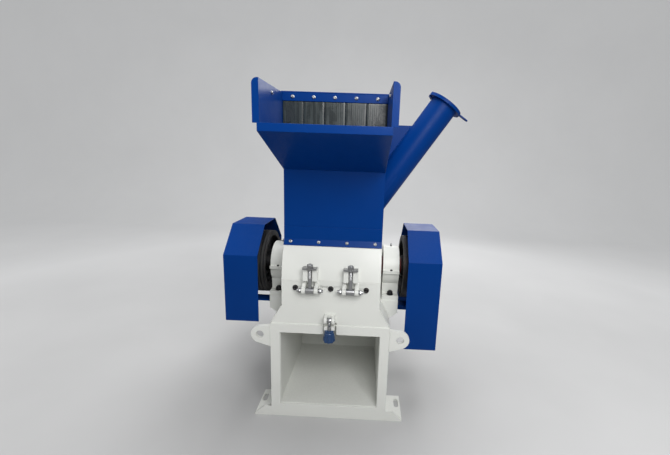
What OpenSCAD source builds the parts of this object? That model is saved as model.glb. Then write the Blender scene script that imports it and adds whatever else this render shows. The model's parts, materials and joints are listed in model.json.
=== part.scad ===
// Plastic granulator: a knife mill with a feed hopper, on a welded base.
// Lengths are millimetres. +X is right and -Y is the front. The origin is on the floor
// under the rotor axis.

/* [Base] */
// How far the base stands out beside the chamber
base_margin = 63; // [54:1:90]
// How far the base stands out before and behind the chamber
base_step = 7; // [3:1:20]
// Height of the base, up to the chamber
base_h = 577; // [520:1:700]
// Width of the hollow side columns
column_w = 52; // [40:1:58]
// Thickness of the front and back plates
base_plate_t = 12; // [8:1:16]
// Height of the discharge floor
floor_z = 81; // [60:1:140]
// Height of the plate above the discharge opening
head_h = 52; // [46:1:90]

/* [Feet and lugs] */
// Width of a foot plate
foot_w = 96; // [90:1:120]
// Length of a foot plate
foot_l = 200; // [180:1:240]
// Thickness of a foot plate
foot_t = 12; // [8:1:16]
// Height of the gusset above a foot plate
gusset_h = 50; // [30:1:80]
// Width of a foot slot
foot_slot_w = 26; // [18:1:28]
// Length of a foot slot
foot_slot_l = 70; // [50:1:90]
// Distance of a foot slot from the end of the base
foot_slot_in = 135; // [110:1:150]
// Bore of a lifting lug
lug_bore = 42; // [30:1:50]
// Radius of a lifting lug's round end
lug_r = 50; // [44:1:56]
// Thickness of a lifting lug
lug_t = 20; // [12:1:24]

/* [Chamber] */
// Width of the cutting chamber
chamber_w = 530; // [460:1:600]
// Depth of the cutting chamber over its front and rear plates
chamber_d = 636; // [630:1:680]
// Height of the rotor axis above the base
axis_rise = 255; // [250:1:275]
// Thickness of the front and rear plates
chamber_t = 12; // [10:1:14]
// Thickness of the side plates
side_t = 20; // [16:1:22]
// Height of the flare at the chamber's foot
flare_h = 103; // [95:1:110]
// Height of the steep part of the upper panels
steep_h = 97; // [90:1:104]
// How far the steep part leans in
steep_in = 18; // [12:1:24]

/* [Rotor] */
// Radius of the rotor knives' edges
knife_r = 190; // [180:1:191]
// Radius of the shaft in the chamber
shaft_r = 55; // [50:1:58]
// Radius of the shaft in the bearings
journal_r = 45; // [40:1:47]
// Radius of the rotor's hub
hub_r = 90; // [80:1:100]
// Number of rotor knives
knife_count = 3; // [2:1:4]

/* [Bearings] */
// Outer radius of a bearing housing
housing_r = 125; // [110:1:130]
// Width of a bearing housing
housing_w = 95; // [80:1:98]
// Outer radius of a bearing
bearing_r = 80; // [76:1:90]
// Width of a bearing
bearing_w = 40; // [30:1:46]
// Number of rollers in a bearing
roller_count = 14; // [10:1:16]
// Gap between the chamber and a housing
housing_gap = 20; // [16:1:24]

/* [Drive] */
// Radius of the belt wheel and the flywheel
wheel_r = 190; // [170:1:196]
// Width of the belt wheel
belt_wheel_w = 90; // [84:1:100]
// Width of the flywheel
flywheel_w = 80; // [60:1:100]
// Radius of the motor pulley
pulley_r = 80; // [70:1:95]
// Number of belts
belt_count = 4; // [3:1:4]
// Distance of the motor's axis behind the base
motor_back = 275; // [265:1:320]
// Depth of the motor shelf below the base's top
shelf_drop = 202; // [190:1:220]
// Radius of the motor frame
motor_r = 157; // [145:1:160]
// Length of the motor frame
motor_l = 430; // [400:1:450]

/* [Screen] */
// Inner radius of the screen
screen_r = 197; // [196:1:200]
// Thickness of the screen
screen_t = 5; // [4:1:6]
// Diameter of the screen's holes
screen_hole = 26; // [16:1:30]

/* [Hopper] */
// Thickness of the hopper's sheets
hopper_t = 6; // [4:1:7]
// How far the neck stands in from the chamber's front
neck_in = 68; // [62:1:76]
// Height of the tray's fold above the rotor axis
fold_rise = 577; // [520:1:640]
// Height of the tray's lip above its fold
tray_rise = 159; // [140:1:190]
// How far the tray reaches forward of the neck
tray_reach = 414; // [380:1:450]
// Height of the lip's strip
lip_h = 32; // [20:1:40]
// Height of the wings above the lip
wing_rise = 168; // [140:1:200]
// Height of the roof above the wings
roof_rise = 19; // [10:1:30]
// Width of the wings' front flanges
wing_flange = 22; // [16:1:30]
// Length of the curtain strips
strip_l = 280; // [240:1:290]

/* [Side pipe] */
// Outer diameter of the pipe
pipe_d = 159; // [140:1:165]
// Wall of the pipe
pipe_t = 4.5; // [3:0.5:6]
// Angle of the pipe above the horizontal
pipe_angle = 56; // [54:0.5:59]
// Length of the pipe from the hopper's side
pipe_l = 575; // [540:1:600]
// Depth below the fold where the pipe's axis meets the hopper's side
pipe_drop = 102; // [90:1:110]
// Diameter of the pipe's flange
flange_d = 206; // [204:1:214]

/* [Guards] */
// Sheet thickness of the guards
guard_t = 3; // [2:0.5:4]
// Width of the belt guard
belt_guard_w = 189; // [180:1:200]
// Width of the flywheel guard
wheel_guard_w = 183; // [170:1:200]
// How far the belt guard reaches below the rotor axis
belt_guard_drop = 284; // [260:1:300]
// How far the flywheel guard reaches below the rotor axis
wheel_guard_drop = 413; // [380:1:430]

/* [Clamps and lock] */
// Distance of a clamp from the middle
clamp_x = 106.5; // [96:0.5:116]
// Radius of a clamp's swing bolt
stud_r = 10; // [8:0.5:11]
// Length of the clamp pins
clamp_pin_l = 137; // [110:1:140]
// Height of the lock's pin above the base
lock_rise = 48; // [44:1:54]

/* [Hidden] */
$fn = 64;
over = 2;
fit = 0.05;
touch_gap = 0.3;
lug_play = 1;
cream = "#E4E5E0";
blue = "#14478F";
dark_blue = "#0B3470";
zinc = "#B9BCC0";
steel = "#8E9196";
black = "#26282B";
red = "#7A1F1E";
pvc = "#3A443C";

// Main places
half_c = chamber_w / 2;
half_w = half_c + base_margin;
face_y = chamber_d / 2;
half_d = face_y + base_step;
axis_z = base_h + axis_rise;
side_in = half_c - side_t;
inner_y = face_y - chamber_t;

// Base
opening_half = half_w - column_w;
opening_top = base_h - head_h;
column_wall = 6;
floor_t = 8;
rail_w = 60;
top_plate_t = 12;
hole_lip = 16;
hole_half_y = inner_y - hole_lip;
notch_half = 35;
notch_h = 15;
ear_flat = 37;
ear_end = 4;
foot_slot_out = foot_w * 3 / 4;
lug_reach = 58.5;
lug_drop = 69;
lug_root = 128;
lug_root_in = 12;
lug_x = half_w + lug_reach;
lug_z = base_h - lug_drop;
lug_root_high = base_h - lug_root_in;
lug_root_low = lug_root_high - lug_root;

// Chamber
flare_top = base_h + flare_h;
flare_t = 12;
flare_slope = flare_h / base_margin;
shaft_gap = 2;
shaft_hole_r = shaft_r + shaft_gap;
bend_z = axis_z + steep_h;
bend_y = face_y - steep_in;
lean_share = 0.481;
neck_y = face_y - neck_in;
lean_cos = 1 / sqrt(1 + lean_share * lean_share);
strip_out = hopper_t / lean_cos;
strip_bend_z = bend_z + (bend_y + strip_out - neck_y) / lean_share;
lean_top_y = neck_y - hopper_t;
lean_top_z = bend_z + (bend_y - lean_top_y) / lean_share;
strip_rise = 79;
strip_low = bend_z + strip_rise;
strip_low_y = bend_y - strip_rise * lean_share + strip_out;

// Bearings and pedestals
housing_in = half_c + housing_gap;
housing_out = housing_in + housing_w;
pedestal_drop = 167;
pedestal_lip = 13;
pedestal_root = 22;
pedestal_top = axis_z - pedestal_drop;
pedestal_half = 150;
pedestal_low = base_h + pedestal_lip;
pedestal_foot = base_h - pedestal_root;
housing_foot_half = 145;
housing_foot_t = 25;
lip_out = 15;
lip_half = housing_r + lip_out;
neck_step = 30;
housing_neck = housing_r - neck_step;
lip_t = 9;
seat_r = bearing_r + fit;
ring_mid = housing_in + housing_w / 2;
race_t = 10;
roller_r = 6;
roller_pitch = bearing_r - race_t - roller_r;
foot_bolt_in = 25;
foot_bolt_y = housing_foot_half - foot_bolt_in;
hex_r = 15;
hex_h = 12;
foot_hex_r = 20;
foot_hex_h = 20;

// Beds and knives
bed_gap = 25;
bed_drop = 72;
bed_end_gap = 2;
bed_in = knife_r + bed_gap;
bed_low = axis_z - bed_drop;
bed_h = 40;
bed_half = side_in - bed_end_gap;
knife_gap = 2.5;
edge_y = knife_r + knife_gap;
knife_t = 20;
knife_l = 75;
knife_back = bed_in + knife_l;
bed_bolt_in = 55;
bed_bolt_up = 28;
bed_bolt_x = side_in - bed_bolt_in;
bed_bolt_z = bed_low + bed_bolt_up;
bed_bolt_r = 8;

// Clamps and lock
clamp_out = 35;
clamp_y = face_y + clamp_out;
clamp_z = bed_bolt_z;
fork_w = 76;
fork_slot = 2 * stud_r + 2 * over;
fork_gap = 6;
fork_h = 67;
fork_low = axis_z + fork_gap;
fork_high = fork_low + fork_h;
ear_w = 20;
ear_gap = 46;
ear_root = 31;
clamp_ear_low = clamp_z - ear_root;
clamp_ear_high = axis_z - fork_gap / 2;
eye_r = 18;
pin_r = 8;
nut_h = 16;
washer_t = 4;
washer_r = 18;
stud_over = 24;
stud_top = fork_high + stud_over;
lock_out = 37;
lock_y = face_y + lock_out;
lock_z = base_h + lock_rise;
lock_ear_w = 57;
lock_slot = 25;
lock_ear_r = 20;
lock_eye_r = 12;
lock_stud_r = 8;
tongue_drop = 59;
tongue_low = lock_z - tongue_drop;
tongue_t = 20;
tongue_w = 57;
knob_l = 74;
knob_top = tongue_low - touch_gap;
knob_low = tongue_low - knob_l;
knob_r1 = 26;
knob_r2 = 33;
flute_share = 0.7;

// Hinges
hinge_out = 27;
hinge_y = face_y + hinge_out;
hinge_r = 20;
hinge_pin_r = 12;
hinge_in = 57;
hinge_lug_x = half_c - hinge_in;
hinge_lug_w = 20;
cradle_in = 48;
cradle_drop = 172;
cradle_y = inner_y - cradle_in;
cradle_z = axis_z - cradle_drop;
cradle_pin_r = 10;
cradle_lug_in = 71;
cradle_lug_x = side_in - cradle_lug_in;
cradle_lug_w = 12;
cradle_eye_r = 18;

// Screen and cradle
rib_r1 = screen_r + screen_t + touch_gap;
rib_reach = 43;
rib_r2 = screen_r + rib_reach;
screen_gap = 7;
screen_half = side_in - screen_gap;
rib_t = 12;
rib_shares = [22, 120, 228] / 238;
rib_x = rib_shares * screen_half;
rib_end = 24;
bar_span = 7;
bar_t_share = 1.5;
lug_sink = 8;
lug_angle_low = 35;
lug_angle_high = 60;

// Rotor and drive
body_gap = 5;
body_half = side_in - body_gap;
seat_w = 50;
blade_t = 16;
blade_rise = 15;
blade_low = hub_r + blade_rise;
knife_bolt_shares = [-0.75, -0.25, 0.25, 0.75];
journal_over = 4;
journal_end = housing_out + journal_over;
wheel_step = 5;
wheel_seat_r = journal_r - wheel_step;
wheel_gap = 18;
wheel_in = housing_out + wheel_gap;
shaft_over = 17;
shaft_end = wheel_in + belt_wheel_w + shaft_over;
groove_d = 12;
groove_w = 16;
groove_pitch = 20;
belt_t = 11;
belt_w = 12;
belt_gap = 0.4;
web_t = 24;
rim_t = 32;
boss_r = 65;
motor_over = 2;
motor_x0 = -half_w - motor_over;
motor_x1 = motor_x0 + motor_l;
motor_wall = 72;
air_gap = 3;
shield_t = 25;
cowl_l = 90;
rib_half = 2;
motor_shaft_r = 21;
shelf_z = base_h - shelf_drop;
shelf_t = 12;
slide_h = 28;
motor_foot_z = shelf_z + shelf_t + slide_h;
motor_lift = 3;
motor_y = half_d + motor_back;
motor_z = motor_foot_z + motor_r + motor_lift;
rear_guard_share = 1.4;

// Hopper
fold_z = axis_z + fold_rise;
lip_z = fold_z + tray_rise;
lip_y = neck_y + tray_reach;
wing_z = lip_z + lip_h + wing_rise;
roof_z = wing_z + roof_rise;
wing_step = 14;
wing_y = lip_y - wing_step;
bar_out = 38;
bar_h = 45;
bar_y = neck_y + bar_out;
bar_t = 5;
bar_low = roof_z - bar_h;
strip_count = 5;
curtain_t = 3;
curtain_z = bar_low - curtain_t / 2 - touch_gap;
curtain_pitch = (chamber_w - 2 * hopper_t) / strip_count;
curtain_gap = 1.6;
curtain_mid = bar_y - bar_t - curtain_t / 2;
bolt_head_r = 9;
bolt_head_h = 6;
strip_bolt_in = 37;
strip_bolt_shares = [-1, -1 / 3, 1 / 3, 1];
bar_bolt_in = 57;
bar_bolt_shares = [-1, -0.5, 0, 0.5, 1];
wing_bolt_drop = 20;

// Side pipe
pipe_z = fold_z - pipe_drop;
pipe_r = pipe_d / 2;
bore_r = pipe_r - pipe_t;
flange_t = 10;
cover_t = 6;
pivot_r = 5;
pivot_in = 11;
pivot_at = flange_d / 2 - pivot_in;
handle_l = 57;
handle_reach = flange_d / 2 + handle_l;
handle_w = 26;
web_rise = 364;
web_z = pipe_z + web_rise;
web_plate_t = 8;

// Guards
guard_gap = 69;
guard_over = 60;
guard_bend_rise = 102;
guard_y = wheel_r + guard_gap;
guard_bend_z = axis_z + guard_bend_rise;
guard_top_z = axis_z + wheel_r + guard_over;
guard_top_y = 112;
left_guard_gap = 32;
right_guard_gap = 34;
guard_inner_left = housing_out + left_guard_gap;
guard_inner_right = housing_out + right_guard_gap;
window_rise = 73;
belt_window_z = axis_z + window_rise;
belt_guard_z = axis_z - belt_guard_drop;
wheel_guard_z = axis_z - wheel_guard_drop;

function norm_of(v) = v / norm(v);
function side_of(a, b) = let(d = norm_of(b - a)) [d[1], -d[0]];
function corner_of(a, b, c) = let(m = side_of(a, b), n = side_of(b, c)) (m + n) / (1 + m * n);
function moved(p, t) = [for (i = [0:len(p) - 1])
    p[i] + t * (i == 0 ? side_of(p[0], p[1])
    : i == len(p) - 1 ? side_of(p[i - 1], p[i])
    : corner_of(p[i - 1], p[i], p[i + 1]))];
function backward(p) = [for (i = [len(p) - 1:-1:0]) p[i]];
function sheet_band(p, t) = concat(p, backward(moved(p, t)));
function mirrored(p) = [for (q = p) [-q[0], q[1]]];
// The point where a line from p touches a circle
function touch_point(p, c, r, s) = let(v = c - p, d = norm(v), u = v / d, a = asin(r / d))
    p + sqrt(d * d - r * r) * [u[0] * cos(a) - s * u[1] * sin(a), s * u[0] * sin(a) + u[1] * cos(a)];

// Draws a YZ outline and extrudes it along X
module along_x(x0, x1) {
    translate([x0, 0, 0])
        rotate([90, 0, 90])
            linear_extrude(x1 - x0)
                children();
}

// Draws an XZ outline and extrudes it along Y
module along_y(y0, y1) {
    translate([0, y1, 0])
        rotate([90, 0, 0])
            linear_extrude(y1 - y0)
                children();
}

module rod_x(x0, x1, y, z, r) {
    translate([x0, y, z])
        rotate([0, 90, 0])
            cylinder(h = x1 - x0, r = r);
}

module rod_y(y0, y1, x, z, r) {
    translate([x, y0, z])
        rotate([-90, 0, 0])
            cylinder(h = y1 - y0, r = r);
}

module block(a, b) {
    translate(a)
        cube(b - a);
}

module both_x() {
    children();
    mirror([1, 0, 0])
        children();
}

module both_y() {
    children();
    mirror([0, 1, 0])
        children();
}

// Base
module base_sides() {
    color(cream)
        both_x()
            difference() {
                block([opening_half, -half_d + base_plate_t, 0],
                    [half_w, half_d - base_plate_t, base_h - top_plate_t]);
                block([opening_half + column_wall, -half_d + base_plate_t + column_wall, -over],
                    [half_w - column_wall, half_d - base_plate_t - column_wall, base_h]);
            }
}

module gusset_ear() {
    polygon([[half_w - over, foot_t], [half_w + foot_w - ear_end, foot_t],
        [half_w + ear_flat, foot_t + gusset_h], [half_w - over, foot_t + gusset_h]]);
}

module end_plate() {
    translate([-half_w, 0])
        square([2 * half_w, base_h]);
}

module base_front_frame() {
    color(cream)
        along_y(-half_d, -half_d + base_plate_t)
            difference() {
                union() {
                    end_plate();
                    gusset_ear();
                    mirror([1, 0])
                        gusset_ear();
                }
                translate([-opening_half, floor_z])
                    square([2 * opening_half, opening_top - floor_z]);
                translate([-notch_half, opening_top - over])
                    square([2 * notch_half, base_h - opening_top + 2 * over]);
            }
}

module base_back_wall() {
    color(cream)
        along_y(half_d - base_plate_t, half_d)
            end_plate();
}

module base_floor() {
    color(cream)
        union() {
            block([-opening_half, -half_d + base_plate_t, floor_z - floor_t],
                [opening_half, half_d - base_plate_t, floor_z]);
            block([-opening_half, -rail_w / 2, 0],
                [opening_half, rail_w / 2, floor_z - floor_t]);
        }
}

module base_top_plate() {
    color(cream)
        difference() {
            block([-half_w, -half_d + base_plate_t, base_h - top_plate_t],
                [half_w, half_d - base_plate_t, base_h]);
            block([-side_in, -hole_half_y, base_h - top_plate_t - over],
                [side_in, hole_half_y, base_h + over]);
            block([-notch_half, -half_d, base_h - top_plate_t - over],
                [notch_half, -hole_half_y + over, base_h + over]);
        }
}

// A foot plate that stands out along X, from its corner at the end of the base
module foot_plate() {
    slot = foot_slot_l / 2 - foot_slot_w / 2;
    linear_extrude(foot_t)
        difference() {
            square([foot_w, foot_l]);
            for (y = [foot_slot_in - slot, foot_slot_in + slot])
                translate([foot_slot_out, y])
                    circle(r = foot_slot_w / 2);
            translate([foot_slot_out - foot_slot_w / 2, foot_slot_in - slot])
                square([foot_slot_w, 2 * slot]);
        }
}

module foot_plates() {
    color(cream)
        both_x() {
            translate([half_w, -half_d, 0])
                foot_plate();
            translate([half_w, half_d, 0])
                rotate(90)
                    foot_plate();
            along_x(half_w - base_plate_t, half_w)
                polygon([[half_d, foot_t - over], [half_d + foot_w - ear_end, foot_t - over],
                    [half_d + foot_w - ear_end, foot_t], [half_d + ear_flat, foot_t + gusset_h],
                    [half_d, foot_t + gusset_h]]);
        }
}

module lifting_lugs() {
    low = [half_w, lug_root_low];
    high = [half_w, lug_root_high];
    eye = [lug_x, lug_z];
    color(cream)
        both_x()
            along_y(-half_d, -half_d + lug_t)
                difference() {
                    union() {
                        translate(eye)
                            circle(r = lug_r);
                        polygon([low, touch_point(low, eye, lug_r, -1), eye,
                            touch_point(high, eye, lug_r, 1), high]);
                    }
                    translate(eye)
                        circle(r = lug_bore / 2);
                }
}

// Lower chamber
module chamber_front() {
    polygon([[-half_w, base_h], [half_w, base_h], [half_c, flare_top],
        [half_c, axis_z], [-half_c, axis_z], [-half_c, flare_top]]);
}

module lower_sides() {
    color(cream)
        both_x() {
            difference() {
                block([side_in, -inner_y, base_h], [half_c, inner_y, axis_z]);
                rod_x(side_in - over, half_c + over, 0, axis_z, shaft_hole_r);
            }
            along_y(-inner_y, inner_y)
                polygon([[half_w, base_h], [half_c, flare_top],
                    [half_c, flare_top - flare_t * flare_slope], [half_w - flare_t, base_h]]);
        }
}

module lower_front_plate() {
    color(cream)
        difference() {
            along_y(-face_y, -inner_y)
                difference() {
                    chamber_front();
                    translate([-notch_half, base_h - over])
                        square([2 * notch_half, notch_h + over]);
                }
            for (x = [-bed_bolt_x, 0, bed_bolt_x])
                rod_y(-face_y - over, -inner_y + over, x, bed_bolt_z, bed_bolt_r + fit);
        }
}

module lower_rear_plate() {
    color(cream)
        difference() {
            union() {
                along_y(inner_y, face_y)
                    chamber_front();
                for (s = [-1, 1])
                    along_x(s * (hinge_lug_x + hinge_lug_w / 2) - hinge_lug_w / 2,
                        s * (hinge_lug_x + hinge_lug_w / 2) + hinge_lug_w / 2)
                        union() {
                            translate([hinge_y, axis_z])
                                circle(r = hinge_r);
                            polygon([[face_y, axis_z - 4 * hinge_r], [hinge_y + hinge_r, axis_z],
                                [hinge_y, axis_z], [face_y, axis_z - hinge_r]]);
                        }
                for (s = [-1, 1])
                    along_x(s * (cradle_lug_x + cradle_lug_w / 2) - cradle_lug_w / 2,
                        s * (cradle_lug_x + cradle_lug_w / 2) + cradle_lug_w / 2)
                        union() {
                            translate([cradle_y, cradle_z])
                                circle(r = cradle_eye_r);
                            translate([cradle_y, cradle_z - cradle_eye_r])
                                square([inner_y - cradle_y, 2 * cradle_eye_r]);
                        }
            }
            rod_x(-half_c, half_c, hinge_y, axis_z, hinge_pin_r + fit);
            rod_x(-half_c, half_c, cradle_y, cradle_z, cradle_pin_r + fit);
            for (x = [-bed_bolt_x, 0, bed_bolt_x])
                rod_y(inner_y - over, face_y + over, x, bed_bolt_z, bed_bolt_r + fit);
        }
}

// Bearings
module pedestals() {
    color(cream)
        both_x()
            along_y(-pedestal_half, pedestal_half)
                polygon([[housing_out, pedestal_top], [housing_out, pedestal_low],
                    [half_w, pedestal_foot], [half_w, base_h],
                    [half_c + (flare_top - pedestal_top) / flare_slope, pedestal_top]]);
}

module bearing_bases() {
    color(cream)
        both_x()
            difference() {
                along_x(housing_in, housing_out)
                    union() {
                        translate([-housing_neck, pedestal_top])
                            square([2 * housing_neck, axis_z - pedestal_top]);
                        intersection() {
                            translate([0, axis_z])
                                circle(r = housing_r);
                            translate([-housing_r, pedestal_top])
                                square([2 * housing_r, axis_z - pedestal_top]);
                        }
                        translate([-housing_foot_half, pedestal_top])
                            square([2 * housing_foot_half, housing_foot_t]);
                        translate([-lip_half, axis_z - lip_t])
                            square([2 * lip_half, lip_t]);
                    }
                rod_x(housing_in - over, housing_out + over, 0, axis_z, seat_r);
            }
}

module bearing_caps() {
    color(cream)
        both_x()
            difference() {
                along_x(housing_in, housing_out)
                    intersection() {
                        union() {
                            translate([0, axis_z])
                                circle(r = housing_r);
                            translate([-lip_half, axis_z])
                                square([2 * lip_half, lip_t]);
                        }
                        translate([-lip_half, axis_z])
                            square([2 * lip_half, housing_r + over]);
                    }
                rod_x(housing_in - over, housing_out + over, 0, axis_z, seat_r);
            }
}

module bearing_rings() {
    cover_w = (housing_w - bearing_w) / 2;
    color(steel)
        both_x() {
            difference() {
                rod_x(ring_mid - bearing_w / 2, ring_mid + bearing_w / 2, 0, axis_z, bearing_r);
                rod_x(ring_mid - bearing_w, ring_mid + bearing_w, 0, axis_z,
                    roller_pitch + roller_r + fit);
            }
            for (i = [1:roller_count])
                rod_x(ring_mid - bearing_w / 3, ring_mid + bearing_w / 3,
                    roller_pitch * sin(i * 360 / roller_count),
                    axis_z + roller_pitch * cos(i * 360 / roller_count), roller_r);
            for (x = [housing_in, housing_out - cover_w])
                difference() {
                    rod_x(x, x + cover_w, 0, axis_z, bearing_r);
                    rod_x(x - over, x + cover_w + over, 0, axis_z, journal_r + washer_t);
                }
        }
}

module hex_head(r, h) {
    cylinder(h = h, r = r, $fn = 6);
}

module frame_bolts() {
    color(black) {
        both_x()
            both_y()
                translate([ring_mid, foot_bolt_y, pedestal_top + housing_foot_t])
                    hex_head(foot_hex_r, foot_hex_h);
        both_y()
            for (x = [-bed_bolt_x, 0, bed_bolt_x])
                translate([x, -face_y, bed_bolt_z])
                    rotate([90, 0, 0])
                        union() {
                            hex_head(hex_r, hex_h);
                            translate([0, 0, -chamber_t - bed_h / 2])
                                cylinder(h = chamber_t + bed_h / 2 + over, r = bed_bolt_r);
                        }
        both_x()
            both_y()
                translate([ring_mid, lip_half - bolt_head_r + over, axis_z + lip_t])
                    cylinder(h = bolt_head_h, r = bolt_head_r - over);
    }
}

// Knives and their beds
module knife_beds() {
    color(cream)
        both_y()
            difference() {
                block([-bed_half, bed_in, bed_low], [bed_half, inner_y, bed_low + bed_h]);
                for (x = [-bed_bolt_x, 0, bed_bolt_x])
                    rod_y(inner_y - bed_h / 2 - over, inner_y + over, x, bed_bolt_z,
                        bed_bolt_r + fit);
            }
}

module fixed_knives() {
    color(steel)
        both_y()
            along_x(-bed_half, bed_half)
                polygon([[edge_y, bed_low + bed_h + knife_t], [bed_in, bed_low + bed_h],
                    [knife_back, bed_low + bed_h], [knife_back, bed_low + bed_h + knife_t]]);
}

// Clamps and screen lock on the lower chamber
module clamp_ear() {
    union() {
        translate([-clamp_y, clamp_z])
            circle(r = eye_r);
        polygon([[-face_y, clamp_ear_low], [-clamp_y, clamp_z - eye_r],
            [-clamp_y, clamp_z + eye_r], [-face_y, clamp_ear_high]]);
    }
}

module swing_bolt_ears() {
    color(cream) {
        for (s = [-1, 1], e = [-1, 1])
            difference() {
                along_x(s * clamp_x + e * (ear_gap + ear_w) / 2 - ear_w / 2,
                    s * clamp_x + e * (ear_gap + ear_w) / 2 + ear_w / 2)
                    clamp_ear();
                rod_x(-half_c, half_c, -clamp_y, clamp_z, pin_r + fit);
            }
        difference() {
            along_x(-lock_ear_w / 2, lock_ear_w / 2)
                union() {
                    translate([-lock_y, lock_z])
                        circle(r = lock_ear_r);
                    polygon([[-face_y, lock_z - lock_ear_r], [-lock_y, lock_z - lock_ear_r],
                        [-lock_y, lock_z + lock_ear_r], [-face_y, lock_z + lock_ear_r]]);
                }
            block([-lock_slot / 2, -lock_y - lock_ear_r - over, lock_z - lock_ear_r - over],
                [lock_slot / 2, -lock_y + lock_eye_r + over, lock_z + lock_ear_r + over]);
            rod_x(-lock_ear_w, lock_ear_w, -lock_y, lock_z, pin_r + fit);
        }
    }
}

module swing_bolt_pins() {
    color(zinc) {
        for (s = [-1, 1])
            rod_x(s * clamp_x - clamp_pin_l / 2, s * clamp_x + clamp_pin_l / 2,
                -clamp_y, clamp_z, pin_r);
        rod_x(-lock_ear_w / 2 - over, lock_ear_w / 2 + over, -lock_y, lock_z, pin_r);
    }
}

module hinge_pins() {
    color(zinc) {
        both_x()
            rod_x(hinge_lug_x - over, hinge_lug_x + 2 * hinge_lug_w + 2 * over,
                hinge_y, axis_z, hinge_pin_r);
        rod_x(-cradle_lug_x - 2 * cradle_lug_w, cradle_lug_x + 2 * cradle_lug_w,
            cradle_y, cradle_z, cradle_pin_r);
    }
}

// Guards
module guard_shell(inner, width, low, window) {
    outline = [[-guard_y, low], [-guard_y, guard_bend_z], [-guard_top_y, guard_top_z],
        [guard_top_y, guard_top_z], [guard_y, guard_bend_z], [guard_y, window]];
    side = [[-guard_y, low], [-guard_y, guard_bend_z], [-guard_top_y, guard_top_z],
        [guard_top_y, guard_top_z], [guard_y, guard_bend_z], [guard_y, low]];
    union() {
        along_x(inner, inner + width)
            polygon(sheet_band(outline, guard_t));
        along_x(inner + width - guard_t, inner + width)
            polygon(side);
        block([housing_out, -pedestal_half / 2, pedestal_low + guard_t],
            [inner + width - guard_t, 0, pedestal_low + 4 * guard_t]);
    }
}

module guard_left() {
    color(blue)
        mirror([1, 0, 0])
            guard_shell(guard_inner_left, belt_guard_w, belt_guard_z, belt_window_z);
}

module guard_right() {
    color(blue)
        guard_shell(guard_inner_right, wheel_guard_w, wheel_guard_z, wheel_guard_z);
}

// Drive at the rear
belt_in = wheel_in + (belt_wheel_w - (belt_count - 1) * groove_pitch) / 2;
belt_r1 = wheel_r - groove_d + belt_gap;
belt_r2 = pulley_r - groove_d + belt_gap;
drive_d = norm([motor_y, motor_z - axis_z]);
drive_slope = atan2(motor_z - axis_z, motor_y);

// Outline round two circles whose centres lie drive_d apart
module round_both(r1, r2) {
    a = asin((r1 - r2) / drive_d);
    steps = 48;
    big = [for (i = [0:steps]) let(b = 90 - a + i * (180 + 2 * a) / steps)
        r1 * [cos(b), sin(b)]];
    small = [for (i = [0:steps]) let(b = a - 90 + i * (180 - 2 * a) / steps)
        [drive_d, 0] + r2 * [cos(b), sin(b)]];
    translate([0, axis_z])
        rotate(drive_slope)
            polygon(concat(big, small));
}

module drive_belts() {
    color(black)
        for (i = [0:belt_count - 1])
            along_x(-belt_in - i * groove_pitch - belt_w / 2,
                -belt_in - i * groove_pitch + belt_w / 2)
                difference() {
                    round_both(belt_r1 + belt_t, belt_r2 + belt_t);
                    round_both(belt_r1, belt_r2);
                }
}

module rear_belt_guard() {
    reach = pulley_r + belt_t * 2;
    line = [[guard_y, belt_window_z - guard_t], [motor_y + reach, motor_z + rear_guard_share * reach],
        [motor_y + reach, motor_z - reach], [guard_y, belt_guard_z]];
    color(blue)
        difference() {
            along_x(-guard_inner_left - belt_guard_w, -guard_inner_left)
                polygon(line);
            along_x(-guard_inner_left - belt_guard_w + guard_t, -guard_inner_left + over)
                polygon(concat([[guard_y - over, belt_window_z - 2 * guard_t]],
                    [line[1] + [-guard_t, -guard_t], line[2] + [-guard_t, guard_t]],
                    [[guard_y - over, belt_guard_z + guard_t]]));
        }
}

module motor_shelf() {
    color(cream)
        union() {
            block([-half_w, half_d, shelf_z], [half_w, motor_y + motor_r, shelf_z + shelf_t]);
            both_x()
                along_x(half_w - 2 * shelf_t, half_w - shelf_t)
                    polygon([[half_d, shelf_z], [motor_y, shelf_z], [half_d, shelf_z - foot_l]]);
            for (x = [motor_x0 + column_w, motor_x1 - 2 * column_w])
                block([x, motor_y - motor_r, shelf_z + shelf_t],
                    [x + column_w, motor_y + motor_r, shelf_z + shelf_t + slide_h]);
        }
}

module motor_frame() {
    color(dark_blue)
        difference() {
            union() {
                rod_x(motor_x0, motor_x1, motor_y, motor_z, motor_r - pin_r);
                for (a = [0:15:345])
                    translate([0, motor_y, motor_z])
                        rotate([a, 0, 0])
                            block([motor_x0, -rib_half, motor_r - 2 * pin_r],
                                [motor_x1, rib_half, motor_r]);
                for (x = [motor_x0 + column_w, motor_x1 - 2 * column_w])
                    block([x, motor_y - motor_r + pin_r, motor_foot_z],
                        [x + column_w, motor_y + motor_r - pin_r, motor_z - motor_r / 2]);
            }
            rod_x(motor_x0 - over, motor_x1 + over, motor_y, motor_z, motor_r - pin_r - motor_wall);
        }
}

module motor_end_shields() {
    color(dark_blue) {
        difference() {
            union() {
                rod_x(motor_x0 - shield_t, motor_x0, motor_y, motor_z, motor_r - pin_r);
                rod_x(motor_x1, motor_x1 + shield_t, motor_y, motor_z, motor_r - pin_r);
            }
            rod_x(motor_x0 - 2 * shield_t, motor_x1 + 2 * shield_t, motor_y, motor_z,
                motor_shaft_r + fit);
        }
        difference() {
            rod_x(motor_x1 + shield_t, motor_x1 + shield_t + cowl_l, motor_y, motor_z, motor_r);
            rod_x(motor_x1 + shield_t + guard_t, motor_x1 + shield_t + cowl_l - guard_t,
                motor_y, motor_z, motor_r - guard_t);
            rod_x(motor_x1 + shield_t - over, motor_x1 + shield_t + 2 * guard_t,
                motor_y, motor_z, motor_r - 2 * pin_r);
            for (a = [0:30:330], r = motor_r * [1, 2] / 3)
                rod_x(motor_x1 + shield_t, motor_x1 + 2 * shield_t + cowl_l,
                    motor_y + r * cos(a), motor_z + r * sin(a), pin_r);
        }
    }
}

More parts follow.
